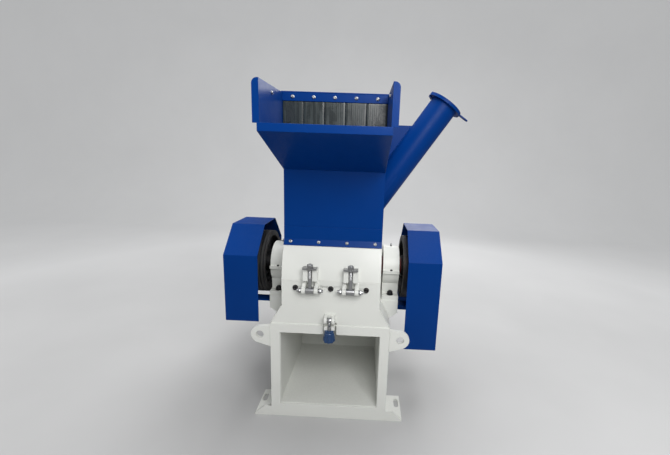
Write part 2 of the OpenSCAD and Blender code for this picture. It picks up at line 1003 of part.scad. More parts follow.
module terminal_box() {
    box_l = 130;
    box_w = 100;
    box_h = 60;
    mid = (motor_x0 + motor_x1) / 2;
    z0 = motor_z + motor_r;
    color(dark_blue)
        union() {
            block([mid - box_l / 2, motor_y - box_w / 2, z0],
                [mid + box_l / 2, motor_y + box_w / 2, z0 + box_h]);
            block([mid - box_l / 2 - over, motor_y - box_w / 2 - over, z0 + box_h],
                [mid + box_l / 2 + over, motor_y + box_w / 2 + over, z0 + box_h + pin_r]);
            rod_y(motor_y + box_w / 2, motor_y + box_w / 2 + shield_t, mid, z0 + box_h / 2,
                eye_r);
        }
}

module motor_pulley() {
    color(black)
        union() {
            translate([-wheel_in - belt_wheel_w, motor_y, motor_z])
                rotate([90, 0, 90])
                    grooved(pulley_r, belt_wheel_w);
            rod_x(-wheel_in - belt_wheel_w, motor_x1 + shield_t + cowl_l / 2,
                motor_y, motor_z, motor_shaft_r);
            rod_x(motor_x0 + shield_t, motor_x1 - shield_t, motor_y, motor_z,
                motor_r - pin_r - motor_wall - air_gap);
            rod_x(motor_x1 + shield_t + pin_r, motor_x1 + shield_t + 3 * pin_r,
                motor_y, motor_z, motor_r - 3 * pin_r);
        }
}

// Profile of a wheel with belt grooves, turned round its axis
module grooved(r, w) {
    first = (w - (belt_count - 1) * groove_pitch) / 2;
    groove = [[r, -groove_w / 2], [r - groove_d, -belt_w / 2 - belt_gap],
        [r - groove_d, belt_w / 2 + belt_gap], [r, groove_w / 2]];
    cuts = [for (i = [0:belt_count - 1], q = groove) [q[0], first + i * groove_pitch + q[1]]];
    rotate_extrude($fn = 128)
        polygon(concat([[0, 0], [r, 0]], cuts, [[r, w], [0, w]]));
}

// Rotor
module rotor_shaft() {
    color(steel)
        union() {
            rod_x(-housing_in, housing_in, 0, axis_z, shaft_r - over);
            rod_x(-side_in, side_in, 0, axis_z, shaft_r);
            rod_x(-journal_end, journal_end, 0, axis_z, journal_r);
            rod_x(-shaft_end, shaft_end, 0, axis_z, wheel_seat_r);
        }
}

module around_axis(n) {
    for (i = [0:n - 1])
        translate([0, 0, axis_z])
            rotate([i * 360 / n, 0, 0])
                children();
}

blade_top = sqrt(knife_r * knife_r - (seat_w / 2 + blade_t) * (seat_w / 2 + blade_t));

module rotor_body() {
    color(steel)
        difference() {
            union() {
                rod_x(-body_half, body_half, 0, axis_z, hub_r);
                around_axis(knife_count)
                    along_x(-body_half, body_half)
                        polygon([[-seat_w, hub_r / 2], [seat_w / 2, hub_r / 2],
                            [seat_w / 2, blade_top - blade_t], [0, blade_top - blade_t]]);
            }
            rod_x(-body_half - over, body_half + over, 0, axis_z, shaft_r + fit);
            around_axis(knife_count)
                block([-body_half - over, seat_w / 2 - over, blade_low - over],
                    [body_half + over, seat_w, knife_r]);
        }
}

module rotor_knives() {
    color(steel)
        around_axis(knife_count)
            union() {
                along_x(-body_half, body_half)
                    polygon([[seat_w / 2 - over, blade_low], [seat_w / 2 + blade_t, blade_low],
                        [seat_w / 2 + blade_t, blade_top], [seat_w / 2 - over, blade_top - blade_t / 2]]);
                for (x = knife_bolt_shares * body_half)
                    rod_y(seat_w / 2 + blade_t - over, seat_w / 2 + blade_t + pin_r, x,
                        (blade_low + blade_top) / 2, hex_r);
            }
}

module wheel_bore() {
    rod_x(wheel_in - over, wheel_in + belt_wheel_w + flywheel_w, 0, axis_z, wheel_seat_r + fit);
}

module belt_wheel() {
    color(black)
        mirror([1, 0, 0])
            difference() {
                translate([wheel_in, 0, axis_z])
                    rotate([90, 0, 90])
                        grooved(wheel_r, belt_wheel_w);
                for (x = [wheel_in - over, wheel_in + (belt_wheel_w + web_t) / 2])
                    difference() {
                        rod_x(x, x + (belt_wheel_w - web_t) / 2 + over, 0, axis_z, wheel_r - rim_t);
                        rod_x(x - over, x + belt_wheel_w, 0, axis_z, boss_r);
                    }
                for (i = [1:6])
                    rod_x(wheel_in, wheel_in + belt_wheel_w,
                        (wheel_r - rim_t + boss_r) / 2 * sin(i * 60),
                        axis_z + (wheel_r - rim_t + boss_r) / 2 * cos(i * 60), rim_t);
                wheel_bore();
            }
}

module flywheel() {
    color(black)
        difference() {
            rod_x(wheel_in, wheel_in + flywheel_w, 0, axis_z, wheel_r);
            for (x = [wheel_in - over, wheel_in + (flywheel_w + web_t) / 2])
                difference() {
                    rod_x(x, x + (flywheel_w - web_t) / 2 + over, 0, axis_z, wheel_r - rim_t);
                    rod_x(x - over, x + flywheel_w, 0, axis_z, boss_r);
                }
            wheel_bore();
        }
}

module shaft_fittings() {
    both_x() {
        color(red)
            difference() {
                rod_x(half_c + touch_gap, housing_in - touch_gap, 0, axis_z, shaft_r + over);
                rod_x(half_c - over, housing_in + over, 0, axis_z, shaft_r - over + fit);
            }
        color(steel)
            difference() {
                rod_x(ring_mid - bearing_w / 2, ring_mid + bearing_w / 2, 0, axis_z,
                    roller_pitch - roller_r - fit);
                rod_x(ring_mid - bearing_w, ring_mid + bearing_w, 0, axis_z, journal_r + fit);
            }
        color(zinc)
            difference() {
                union() {
                    rod_x(journal_end, wheel_in, 0, axis_z, boss_r - hex_r);
                    rod_x(wheel_in + belt_wheel_w, wheel_in + belt_wheel_w + washer_t * 2, 0, axis_z,
                        boss_r - hex_r);
                }
                rod_x(journal_end - over, wheel_in + 2 * belt_wheel_w, 0, axis_z,
                    wheel_seat_r + fit);
            }
    }
}

// Upper chamber
panel_line = [[-face_y, axis_z], [-bend_y, bend_z], [-lean_top_y, lean_top_z]];
panel_in = moved(panel_line, chamber_t);
steep_shift = chamber_t / side_of(panel_line[0], panel_line[1])[0];
lean_shift = chamber_t / side_of(panel_line[1], panel_line[2])[0];
panel_level = [[-face_y + steep_shift, axis_z], panel_in[1], [-lean_top_y + lean_shift, lean_top_z]];

module upper_panel() {
    along_x(-half_c, half_c)
        polygon(concat(panel_line, backward(panel_level)));
}

module upper_sides() {
    color(cream)
        both_x()
            difference() {
                along_x(side_in, half_c)
                    polygon(concat(panel_level, backward(mirrored(panel_level))));
                rod_x(side_in - over, half_c + over, 0, axis_z, shaft_hole_r);
            }
}

module upper_front_panel() {
    color(cream)
        upper_panel();
}

module upper_rear_panel() {
    color(cream)
        union() {
            mirror([0, 1, 0])
                upper_panel();
            for (s = [-1, 1])
                along_x(s * (hinge_lug_x + hinge_lug_w * 3 / 2 + lug_play) - hinge_lug_w / 2,
                    s * (hinge_lug_x + hinge_lug_w * 3 / 2 + lug_play) + hinge_lug_w / 2)
                    difference() {
                        union() {
                            translate([hinge_y, axis_z])
                                circle(r = hinge_r);
                            polygon([[hinge_y, axis_z], [hinge_y + hinge_r, axis_z],
                                [bend_y, bend_z], [face_y - steep_in / 4, axis_z + steep_h / 4]]);
                        }
                        translate([hinge_y, axis_z])
                            circle(r = hinge_pin_r + fit);
                    }
        }
}

module clamp_forks() {
    mid = (fork_low + fork_high) / 2;
    color(cream)
        for (s = [-1, 1])
            difference() {
                block([s * clamp_x - fork_w / 2, -clamp_y, fork_low],
                    [s * clamp_x + fork_w / 2, -bend_y + over, fork_high]);
                block([s * clamp_x - fork_slot / 2, -clamp_y - over, fork_low - over],
                    [s * clamp_x + fork_slot / 2, -clamp_y + stud_r + over, fork_high + over]);
                along_x(-half_c, half_c)
                    polygon([panel_line[0], panel_line[1], [0, bend_z], [0, axis_z]]);
            }
}

// Hopper
front_line = [[-strip_low_y, strip_low], [-neck_y, strip_bend_z], [-neck_y, fold_z],
    [-lip_y, lip_z], [-lip_y, lip_z + lip_h]];
front_in = moved(front_line, hopper_t);
back_line = [[strip_low_y, strip_low], [neck_y, strip_bend_z], [neck_y, roof_z], [-bar_y, roof_z]];
back_in = moved(back_line, -hopper_t);
side_outline = concat([[-lean_top_y, lean_top_z], front_in[2], front_in[3],
    [front_in[4][0], lip_z + lip_h], [-wing_y, lip_z + lip_h], [-wing_y, wing_z],
    [-bar_y, roof_z - hopper_t], back_in[2], [lean_top_y, lean_top_z]]);

module hopper_front() {
    color(blue)
        along_x(-half_c, half_c)
            difference() {
                polygon(concat(front_line, backward(front_in)));
                polygon(concat([[0, 0]], panel_line, [[0, lean_top_z]]));
            }
}

module hopper_side() {
    along_x(half_c - hopper_t, half_c)
        polygon(side_outline);
    along_y(-wing_y, -wing_y + hopper_t)
        difference() {
            translate([half_c - over, lip_z + lip_h])
                square([wing_flange + over, wing_z - lip_z - lip_h]);
            translate([half_c, wing_z - wing_flange])
                difference() {
                    square([wing_flange + over, wing_flange + over]);
                    circle(r = wing_flange);
                }
        }
}

module hopper_side_left() {
    color(blue)
        mirror([1, 0, 0])
            union()
                hopper_side();
}

// Turns the pipe's frame so that its length runs along Z from the hopper's side
module on_pipe() {
    translate([half_c, 0, pipe_z])
        rotate([0, 90 - pipe_angle, 0])
            children();
}

module hopper_side_right() {
    color(blue)
        difference() {
            union()
                hopper_side();
            on_pipe()
                translate([0, 0, -pipe_d])
                    cylinder(h = 2 * pipe_d, r = bore_r);
        }
}

module hopper_back() {
    color(blue)
        along_x(-half_c, half_c)
            difference() {
                polygon(concat(back_line, backward(back_in)));
                polygon(concat([[0, 0]], mirrored(panel_line), [[0, lean_top_z]]));
            }
}

module curtain_bar() {
    color(blue)
        block([-half_c + hopper_t, -bar_y, bar_low],
            [half_c - hopper_t, -bar_y + bar_t, roof_z - hopper_t]);
    color(pvc)
        block([-half_c + hopper_t, -bar_y + bar_t, bar_low],
            [half_c - hopper_t, -bar_y + bar_t + curtain_t, roof_z - hopper_t]);
}

module round_bolt(r, h) {
    cylinder(h = h, r = r);
}

module hopper_bolts() {
    lean = atan(lean_share);
    mid_z = (strip_low + strip_bend_z) / 2;
    color(zinc) {
        both_y()
            for (x = strip_bolt_shares * (half_c - strip_bolt_in))
                translate([x, -(strip_low_y + neck_y) / 2, mid_z])
                    rotate([90 - lean, 0, 0])
                        round_bolt(bolt_head_r, bolt_head_h);
        for (x = bar_bolt_shares * (half_c - bar_bolt_in))
            translate([x, -bar_y, (bar_low + roof_z - hopper_t) / 2])
                rotate([90, 0, 0])
                    round_bolt(bolt_head_r, bolt_head_h);
        both_x()
            translate([half_c - hopper_t, -(wing_y + bar_y) / 2, (bar_low + roof_z) / 2 - wing_bolt_drop])
                rotate([0, -90, 0])
                    round_bolt(bolt_head_r, bolt_head_h);
    }
}

module curtain_strip(n) {
    x = (n - (strip_count + 1) / 2) * curtain_pitch;
    w = curtain_pitch - curtain_gap;
    color(pvc)
        along_x(x - w / 2, x + w / 2)
            union() {
                translate([-curtain_mid, curtain_z])
                    circle(r = curtain_t / 2);
                translate([-curtain_mid - curtain_t / 2, curtain_z - strip_l])
                    square([curtain_t, strip_l]);
            }
}

module curtain_strip_1() {
    curtain_strip(1);
}

module curtain_strip_2() {
    curtain_strip(2);
}

module curtain_strip_3() {
    curtain_strip(3);
}

module curtain_strip_4() {
    curtain_strip(4);
}

module curtain_strip_5() {
    curtain_strip(5);
}

// Side pipe
module side_pipe() {
    top_x = half_c + (web_z - pipe_z - pipe_r / cos(pipe_angle)) / tan(pipe_angle);
    color(blue) {
        difference() {
            union() {
                difference() {
                    on_pipe()
                        translate([0, 0, -pipe_d * 2])
                            cylinder(h = pipe_l + 2 * pipe_d, r = pipe_r);
                    block([-half_w, -pipe_d, 0], [half_c, pipe_d, roof_z]);
                }
                on_pipe()
                    translate([0, 0, pipe_l])
                        cylinder(h = flange_t, r = flange_d / 2);
                along_y(-web_plate_t / 2, web_plate_t / 2)
                    polygon([[half_c, pipe_z + pipe_r / cos(pipe_angle) - over],
                        [top_x + over, web_z], [half_c, web_z]]);
            }
            on_pipe()
                translate([0, 0, -pipe_d * 2])
                    cylinder(h = pipe_l + 3 * pipe_d, r = bore_r);
            on_pipe()
                translate([-pivot_at, 0, pipe_l - over])
                    cylinder(h = flange_t + 2 * over, r = pivot_r + fit);
        }
    }
    color(zinc)
        on_pipe()
            translate([-pivot_at, 0, pipe_l - nut_h / 2])
                union() {
                    cylinder(h = nut_h / 2, r = bolt_head_r, $fn = 6);
                    cylinder(h = nut_h + flange_t + cover_t + touch_gap, r = pivot_r);
                    translate([0, 0, nut_h / 2 + flange_t + cover_t + 2 * touch_gap])
                        cylinder(h = nut_h / 2, r = bolt_head_r, $fn = 6);
                }
}

module pipe_cover() {
    color(dark_blue)
        on_pipe()
            translate([0, 0, pipe_l + flange_t + touch_gap])
                linear_extrude(cover_t)
                    difference() {
                        union() {
                            circle(r = flange_d / 2);
                            translate([0, -handle_w / 2])
                                square([handle_reach - handle_w / 2, handle_w]);
                            translate([handle_reach - handle_w / 2, 0])
                                circle(r = handle_w / 2);
                        }
                        translate([-pivot_at, 0])
                            circle(r = pivot_r + fit);
                    }
}

// Clamps and lock
module clamp_bolt(s) {
    color(zinc)
        translate([s * clamp_x, -clamp_y, 0])
            union() {
                difference() {
                    union() {
                        rod_x(-ear_gap / 2 + lug_play, ear_gap / 2 - lug_play, 0, clamp_z, eye_r);
                        translate([0, 0, clamp_z])
                            cylinder(h = stud_top - clamp_z, r = stud_r);
                    }
                    rod_x(-ear_gap, ear_gap, 0, clamp_z, pin_r + fit);
                }
                translate([0, 0, fork_high + touch_gap])
                    cylinder(h = washer_t, r = washer_r);
                translate([0, 0, fork_high + touch_gap + washer_t])
                    cylinder(h = nut_h, r = eye_r, $fn = 6);
            }
}

module clamp_bolt_left() {
    clamp_bolt(-1);
}

module clamp_bolt_right() {
    clamp_bolt(1);
}

module lock_bolt() {
    color(zinc)
        translate([0, -lock_y, 0])
            difference() {
                union() {
                    rod_x(-lock_slot / 2 + lug_play, lock_slot / 2 - lug_play, 0, lock_z,
                        lock_eye_r + pin_r / 4);
                    translate([0, 0, knob_low + nut_h])
                        cylinder(h = lock_z - knob_low - nut_h, r = lock_stud_r);
                }
                rod_x(-lock_slot, lock_slot, 0, lock_z, pin_r + fit);
            }
}

module lock_knob() {
    flutes = 8;
    collar = nut_h / 2;
    neck = knob_top - collar;
    flute_top = knob_low + (neck - knob_low) * flute_share;
    color(black)
        translate([0, -lock_y, neck])
            difference() {
                cylinder(h = collar, r = knob_r1 - over);
                translate([0, 0, -over])
                    cylinder(h = collar + 2 * over, r = lock_stud_r + fit);
            }
    color(blue)
        translate([0, -lock_y, 0])
            difference() {
                union() {
                    translate([0, 0, knob_low])
                        linear_extrude(flute_top - knob_low)
                            difference() {
                                circle(r = knob_r2);
                                for (i = [1:flutes])
                                    rotate(i * 360 / flutes)
                                        translate([knob_r2 + over, 0])
                                            circle(r = pin_r);
                            }
                    translate([0, 0, flute_top])
                        cylinder(h = neck - flute_top, r = knob_r1);
                }
                translate([0, 0, knob_low + nut_h])
                    cylinder(h = knob_top, r = lock_stud_r + fit);
            }
}

// Screen and its cradle
module sector(r1, r2, a0, a1) {
    far = 2 * r2;
    translate([0, axis_z])
        difference() {
            circle(r = r2, $fn = 128);
            circle(r = r1, $fn = 128);
            polygon(concat([[0, 0]],
                [for (i = [0:6]) let(a = a1 + i * (360 + a0 - a1) / 6)
                    far * [cos(a), sin(a)]]));
        }
}

module screen_cradle() {
    a0 = -180 + rib_end;
    a1 = -rib_end;
    color(cream)
        difference() {
            union() {
                for (s = [-1, 1], x = rib_x)
                    along_x(s * x - rib_t / 2, s * x + rib_t / 2)
                        sector(rib_r1, rib_r2, a0, a1);
                for (a = [a0, -90 - bar_span / 2, a1 - bar_span])
                    along_x(-screen_half + rib_t / 3, screen_half - rib_t / 3)
                        sector(rib_r2 - bar_t_share * rib_t, rib_r2, a, a + bar_span);
                for (s = [-1, 1])
                    along_x(s * rib_x[0] - rib_t / 2, s * rib_x[0] + rib_t / 2)
                        difference() {
                            polygon([[-inner_y + column_w, tongue_low], [-rail_w / 2, tongue_low],
                                [-rail_w / 2, axis_z - rib_r2 + rib_t],
                                [-rib_r2 * sin(lug_angle_high), axis_z - rib_r2 * cos(lug_angle_high)]]);
                            translate([0, axis_z])
                                circle(r = rib_r2 - over, $fn = 128);
                        }
                block([-tongue_w / 2, -lock_y, tongue_low],
                    [tongue_w / 2, -rail_w / 2, tongue_low + tongue_t]);
                for (s = [-1, 1])
                    along_x(s * rib_x[1] - rib_t, s * rib_x[1] + rib_t)
                        difference() {
                            union() {
                                translate([cradle_y, cradle_z])
                                    circle(r = cradle_eye_r);
                                polygon([[cradle_y, cradle_z + cradle_eye_r],
                                    [cradle_y, cradle_z - cradle_eye_r],
                                    [rib_r2 * sin(lug_angle_low) - lug_sink,
                                        axis_z - rib_r2 * cos(lug_angle_low)],
                                    [rib_r2 * sin(lug_angle_high) - lug_sink,
                                        axis_z - rib_r2 * cos(lug_angle_high)]]);
                            }
                            translate([0, axis_z])
                                circle(r = rib_r2 - over, $fn = 128);
                        }
            }
            rod_x(-screen_half, screen_half, cradle_y, cradle_z, cradle_pin_r + fit);
            block([-lock_stud_r - over, -lock_y - over, tongue_low - over],
                [lock_stud_r + over, -lock_y + lock_stud_r + over, tongue_low + tongue_t + over]);
        }
}

module screen() {
    a0 = -180 + rib_end;
    a1 = -rib_end;
    across = 10;
    rows = 8;
    color(steel)
        difference() {
            along_x(-screen_half, screen_half)
                sector(screen_r, screen_r + screen_t, a0, a1);
            for (j = [1:rows], i = [0:across - 1])
                translate([(i - (across - 1) / 2) * 2 * screen_half / across, 0, axis_z])
                    rotate([a0 + (a1 - a0) * (j - 0.5) / rows + 90, 0, 0])
                        translate([0, 0, -screen_r - 2 * screen_t])
                            cylinder(h = 3 * screen_t, r = screen_hole / 2);
        }
}

base_sides();
base_front_frame();
base_back_wall();
base_floor();
base_top_plate();
foot_plates();
lifting_lugs();
lower_sides();
lower_front_plate();
lower_rear_plate();
pedestals();
bearing_bases();
bearing_caps();
bearing_rings();
frame_bolts();
knife_beds();
fixed_knives();
swing_bolt_ears();
swing_bolt_pins();
hinge_pins();
guard_left();
guard_right();
rear_belt_guard();
drive_belts();
motor_shelf();
motor_frame();
motor_end_shields();
terminal_box();
motor_pulley();
rotor_shaft();
rotor_body();
rotor_knives();
belt_wheel();
flywheel();
shaft_fittings();
upper_sides();
upper_front_panel();
upper_rear_panel();
clamp_forks();
hopper_front();
hopper_side_left();
hopper_side_right();
hopper_back();
curtain_bar();
hopper_bolts();
side_pipe();
pipe_cover();
curtain_strip_1();
curtain_strip_2();
curtain_strip_3();
curtain_strip_4();
curtain_strip_5();
clamp_bolt_left();
clamp_bolt_right();
lock_bolt();
lock_knob();
screen_cradle();
screen();
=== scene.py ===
"""Looks of a plastic granulator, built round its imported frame.

Finishes, weld seams, fasteners, small fittings and the strip curtain.
"""

import json
import math
import random

import bmesh
import bpy
from mathutils import Matrix, Vector


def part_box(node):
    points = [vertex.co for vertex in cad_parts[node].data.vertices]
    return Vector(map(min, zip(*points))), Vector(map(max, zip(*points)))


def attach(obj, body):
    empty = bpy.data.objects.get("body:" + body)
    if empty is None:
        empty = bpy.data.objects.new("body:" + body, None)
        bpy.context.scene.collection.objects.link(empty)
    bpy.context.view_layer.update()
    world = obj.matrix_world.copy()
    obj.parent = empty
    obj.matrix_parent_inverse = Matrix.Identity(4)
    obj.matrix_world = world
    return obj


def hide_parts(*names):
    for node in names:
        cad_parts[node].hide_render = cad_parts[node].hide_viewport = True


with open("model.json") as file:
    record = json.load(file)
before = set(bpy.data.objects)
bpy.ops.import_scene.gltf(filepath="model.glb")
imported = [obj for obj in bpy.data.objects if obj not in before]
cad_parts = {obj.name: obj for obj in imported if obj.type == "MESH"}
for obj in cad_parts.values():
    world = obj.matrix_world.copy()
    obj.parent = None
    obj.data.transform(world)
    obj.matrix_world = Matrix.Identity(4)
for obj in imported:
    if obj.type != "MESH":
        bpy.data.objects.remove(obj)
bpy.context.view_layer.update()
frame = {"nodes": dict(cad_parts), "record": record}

bl_info = {
    "name": "Plastic granulator",
    "version": (1, 0, 0),
    "blender": (4, 5, 0),
    "location": "View3D > Sidebar > Granulator",
    "description": "Dresses a knife mill for plastic scrap",
    "category": "Add Mesh",
}

MM = 0.001
SEED = 7

ORIGIN = Vector((0, 0, 0))
RIGHTWARD = Vector((1, 0, 0))
FORWARD = Vector((0, -1, 0))
UPWARD = Vector((0, 0, 1))
DOWNWARD = Vector((0, 0, -1))


def colour(label, text, value):
    """A colour property with its default in linear red, green and blue."""
    return bpy.props.FloatVectorProperty(name=label, description=text, default=value,
                                         subtype="COLOR", min=0, max=1)


def length(label, text, value):
    """A length property in metres."""
    return bpy.props.FloatProperty(name=label, description=text, default=value,
                                   unit="LENGTH", min=0)


class FinishColours(bpy.types.PropertyGroup):
    """Colours of the paints, metals and plastics."""
    cream: colour("Cream", "Enamel of the base and the cutting chamber", (0.76, 0.77, 0.73))
    blue: colour("Blue", "Enamel of the hopper and the wheel guards", (0.0005, 0.036, 0.20))
    motor_blue: colour("Motor blue", "Enamel of the motor", (0.015, 0.045, 0.13))
    red: colour("Red", "Primer on the shaft sleeves", (0.16, 0.012, 0.012))
    zinc: colour("Zinc", "Plating of bolts and nuts", (0.43, 0.435, 0.44))
    steel: colour("Steel", "Ground steel of shaft, rotor and knives", (0.36, 0.36, 0.37))
    black: colour("Black", "Blackened iron of wheels and bolts", (0.022, 0.022, 0.025))
    rubber: colour("Rubber", "Drive belts", (0.018, 0.018, 0.018))
    knob: colour("Knob", "Hand knob of the screen lock", (0.005, 0.04, 0.13))
    curtain: colour("Curtain", "Soft PVC strips", (0.011, 0.017, 0.018))


class SeamSizes(bpy.types.PropertyGroup):
    """Sizes of the weld seams and the broken edges."""
    bead: length("Bead", "Radius of a weld bead", 3.2 * MM)
    ripple: length("Ripple", "Distance between the ripples of a bead", 4 * MM)
    edge: length("Edge", "Width of a plate's broken edge", 1.2 * MM)


class CurtainSizes(bpy.types.PropertyGroup):
    """Shape of the strip curtain."""
    rib: length("Rib", "Height of the ribs on a strip", 0.35 * MM)
    wave: length("Wave", "How far a hanging strip bows", 1.1 * MM)


# Shader nodes.

COLOR, VALUE, VECTOR = "NodeSocketColor", "NodeSocketFloat", "NodeSocketVector"
COAT_OUTPUTS = (("Color", COLOR), ("Roughness", VALUE), ("Height", VALUE))

# Sockets of the Mix node while it mixes colours.
MIX_SHARE, MIX_A, MIX_B, MIX_RESULT = 0, 6, 7, 2


def node(tree, kind, values=None, **settings):
    """Adds a shader node, with sockets set or linked by name or number."""
    made = tree.nodes.new(kind)
    for key, value in settings.items():
        setattr(made, key, value)
    for socket, value in (values or {}).items():
        if isinstance(value, bpy.types.NodeSocket):
            tree.links.new(value, made.inputs[socket])
        else:
            made.inputs[socket].default_value = value
    return made


def link_all(tree, target, values):
    """Links values to the named sockets of a shader or of a group's output."""
    for label, value in values.items():
        tree.links.new(value, target.inputs[label])


def group(name, inputs, outputs):
    """A new shader node group; returns its tree, its input sockets and its output node."""
    tree = bpy.data.node_groups.new(name, "ShaderNodeTree")
    for label, kind, default in inputs:
        socket = tree.interface.new_socket(name=label, in_out="INPUT", socket_type=kind)
        socket.default_value = default
    for label, kind in outputs:
        tree.interface.new_socket(name=label, in_out="OUTPUT", socket_type=kind)
    return tree, tree.nodes.new("NodeGroupInput").outputs, tree.nodes.new("NodeGroupOutput")


def object_place(tree):
    """Coordinates that stay with the object."""
    return node(tree, "ShaderNodeTexCoord").outputs["Object"]


def face_normal(tree):
    """The surface's own normal."""
    return node(tree, "ShaderNodeNewGeometry").outputs["Normal"]


def stretched(tree, place, scale):
    """Coordinates scaled by a vector."""
    made = node(tree, "ShaderNodeVectorMath", {0: place, 1: scale}, operation="MULTIPLY")
    return made.outputs["Vector"]


def noise(tree, place, scale, detail=3.0, roughness=0.5):
    """Fractal noise of a scale in 1/m on the given coordinates."""
    made = node(tree, "ShaderNodeTexNoise", {"Vector": place, "Scale": scale,
                                             "Detail": detail, "Roughness": roughness})
    return made.outputs["Fac"]


def spread(tree, value, low, high, out_low=0.0, out_high=1.0):
    """Maps a value from one range to another, clamped."""
    made = node(tree, "ShaderNodeMapRange", {"Value": value, "From Min": low, "From Max": high,
                                             "To Min": out_low, "To Max": out_high})
    return made.outputs["Result"]


def joined(tree, operation, a, b):
    """Joins two values with a math node."""
    return node(tree, "ShaderNodeMath", {0: a, 1: b}, operation=operation).outputs[0]


def product(tree, a, b):
    """One value times another."""
    return joined(tree, "MULTIPLY", a, b)


def total(tree, a, b):
    """The sum of two values."""
    return joined(tree, "ADD", a, b)


def blended(tree, share, a, b):
    """Mixes two colours by a share."""
    made = node(tree, "ShaderNodeMix", {MIX_SHARE: share, MIX_A: a, MIX_B: b}, data_type="RGBA")
    return made.outputs[MIX_RESULT]


def opaque(rgb, factor=1.0):
    """A colour property as an opaque colour, made lighter or darker."""
    return tuple(min(1.0, c * factor) for c in rgb) + (1.0,)


# Shared effects, as node groups.

def build_enamel_group():
    """Sprayed enamel: faint clouds of colour, orange peel, dull patches and settled dust."""
    tree, given, out = group("Sprayed enamel", [
        ("Color", COLOR, (0.8, 0.8, 0.8, 1)), ("Thin Color", COLOR, (0.6, 0.6, 0.6, 1)),
        ("Dust Color", COLOR, (0.5, 0.48, 0.44, 1)), ("Gloss", VALUE, 0.3), ("Dust", VALUE, 0.3),
    ], COAT_OUTPUTS)
    place = object_place(tree)
    clouds = spread(tree, noise(tree, place, 3.5, 4.0), 0.35, 0.7)
    peel = noise(tree, place, 260.0, 2.0)
    dull = spread(tree, noise(tree, place, 11.0, 5.0, 0.6), 0.4, 0.75)
    facing = node(tree, "ShaderNodeSeparateXYZ", {0: face_normal(tree)}).outputs["Z"]
    upward = spread(tree, facing, 0.25, 0.95)
    specks = spread(tree, noise(tree, place, 90.0, 6.0, 0.7), 0.38, 0.72)
    dust = product(tree, product(tree, upward, specks), given["Dust"])
    coat = blended(tree, product(tree, clouds, 0.5), given["Color"], given["Thin Color"])
    patchy = total(tree, given["Gloss"], product(tree, dull, 0.12))
    link_all(tree, out, {
        "Color": blended(tree, dust, coat, given["Dust Color"]),
        "Roughness": total(tree, patchy, product(tree, dust, 0.5)),
        "Height": total(tree, peel, product(tree, dust, 0.4)),
    })
    return tree


def build_wear_group():
    """Wear along edges: a mask that is 1 where paint has rubbed off."""
    tree, given, out = group("Edge wear", [("Width", VALUE, 0.003), ("Amount", VALUE, 0.5)],
                             [("Mask", VALUE)])
    place = object_place(tree)
    flat = face_normal(tree)
    rounded = node(tree, "ShaderNodeBevel", {"Radius": given["Width"]}, samples=6)
    match = node(tree, "ShaderNodeVectorMath", {0: flat, 1: rounded.outputs["Normal"]},
                 operation="DOT_PRODUCT")
    bend = spread(tree, match.outputs["Value"], 0.995, 0.86)
    chips = spread(tree, noise(tree, place, 55.0, 6.0, 0.7), 0.46, 0.66)
    link_all(tree, out, {"Mask": product(tree, product(tree, bend, chips), given["Amount"])})
    return tree


def build_metal_group():
    """Bare or plated metal: fine brushing along one way and stains."""
    tree, given, out = group("Worked metal", [
        ("Color", COLOR, (0.5, 0.5, 0.5, 1)), ("Stain Color", COLOR, (0.2, 0.18, 0.16, 1)),
        ("Gloss", VALUE, 0.3), ("Stain", VALUE, 0.3), ("Grain", VECTOR, (20.0, 900.0, 900.0)),
    ], COAT_OUTPUTS)
    place = object_place(tree)
    grain = noise(tree, stretched(tree, place, given["Grain"]), 1.0, 3.0)
    blotches = spread(tree, noise(tree, place, 32.0, 6.0, 0.65), 0.48, 0.72)
    stains = product(tree, blotches, given["Stain"])
    brushed = spread(tree, grain, 0.3, 0.7, 0.0, 0.35)
    tinted = blended(tree, brushed, given["Color"], (0.12, 0.12, 0.125, 1))
    rough = total(tree, given["Gloss"], product(tree, grain, 0.16))
    link_all(tree, out, {
        "Color": blended(tree, stains, tinted, given["Stain Color"]),
        "Roughness": total(tree, rough, product(tree, stains, 0.35)),
        "Height": grain,
    })
    return tree


def build_grain_group():
    """Moulded plastic or rubber: fine pitting, scuffs and dull smears."""
    tree, given, out = group("Moulded skin", [
        ("Color", COLOR, (0.1, 0.1, 0.1, 1)), ("Scuff Color", COLOR, (0.3, 0.3, 0.3, 1)),
        ("Gloss", VALUE, 0.4), ("Scuff", VALUE, 0.3), ("Scale", VALUE, 500.0),
    ], COAT_OUTPUTS)
    place = object_place(tree)
    rubs = spread(tree, noise(tree, place, 24.0, 7.0, 0.7), 0.5, 0.72)
    scuffs = product(tree, rubs, given["Scuff"])
    link_all(tree, out, {
        "Color": blended(tree, scuffs, given["Color"], given["Scuff Color"]),
        "Roughness": total(tree, given["Gloss"], product(tree, scuffs, 0.4)),
        "Height": noise(tree, place, given["Scale"], 2.0),
    })
    return tree


# Materials, one for each of the record's slots.

GROUPS = {}
MATERIALS = {}

PRIMER = (0.20, 0.19, 0.18, 1)
WORN_CREAM = (0.36, 0.33, 0.28, 1)
WORN_BLUE = (0.03, 0.10, 0.25, 1)
RUST = (0.10, 0.07, 0.05, 1)
RUBBED_RUBBER = (0.06, 0.06, 0.055, 1)
RUBBED_KNOB = (0.04, 0.08, 0.17, 1)
# Colour of the pale greenish streaks that run down the curtain strips.
PALE_STREAK = (0.048, 0.066, 0.062, 1)

# How wide an enamel's edge wear reaches, and how deep each kind of surface's bumps are.
WEAR_WIDTH = 2.6 * MM
ENAMEL_DEPTH = 0.6 * MM
METAL_DEPTH = 0.4 * MM
MOULDED_DEPTH = 0.5 * MM
CURTAIN_DEPTH = 1.0 * MM


def start_material(name):
    """An empty node material with its shader; returns the material, its tree and the shader."""
    made = bpy.data.materials.new(name)
    made.use_nodes = True
    tree = made.node_tree
    return made, tree, tree.nodes["Principled BSDF"]


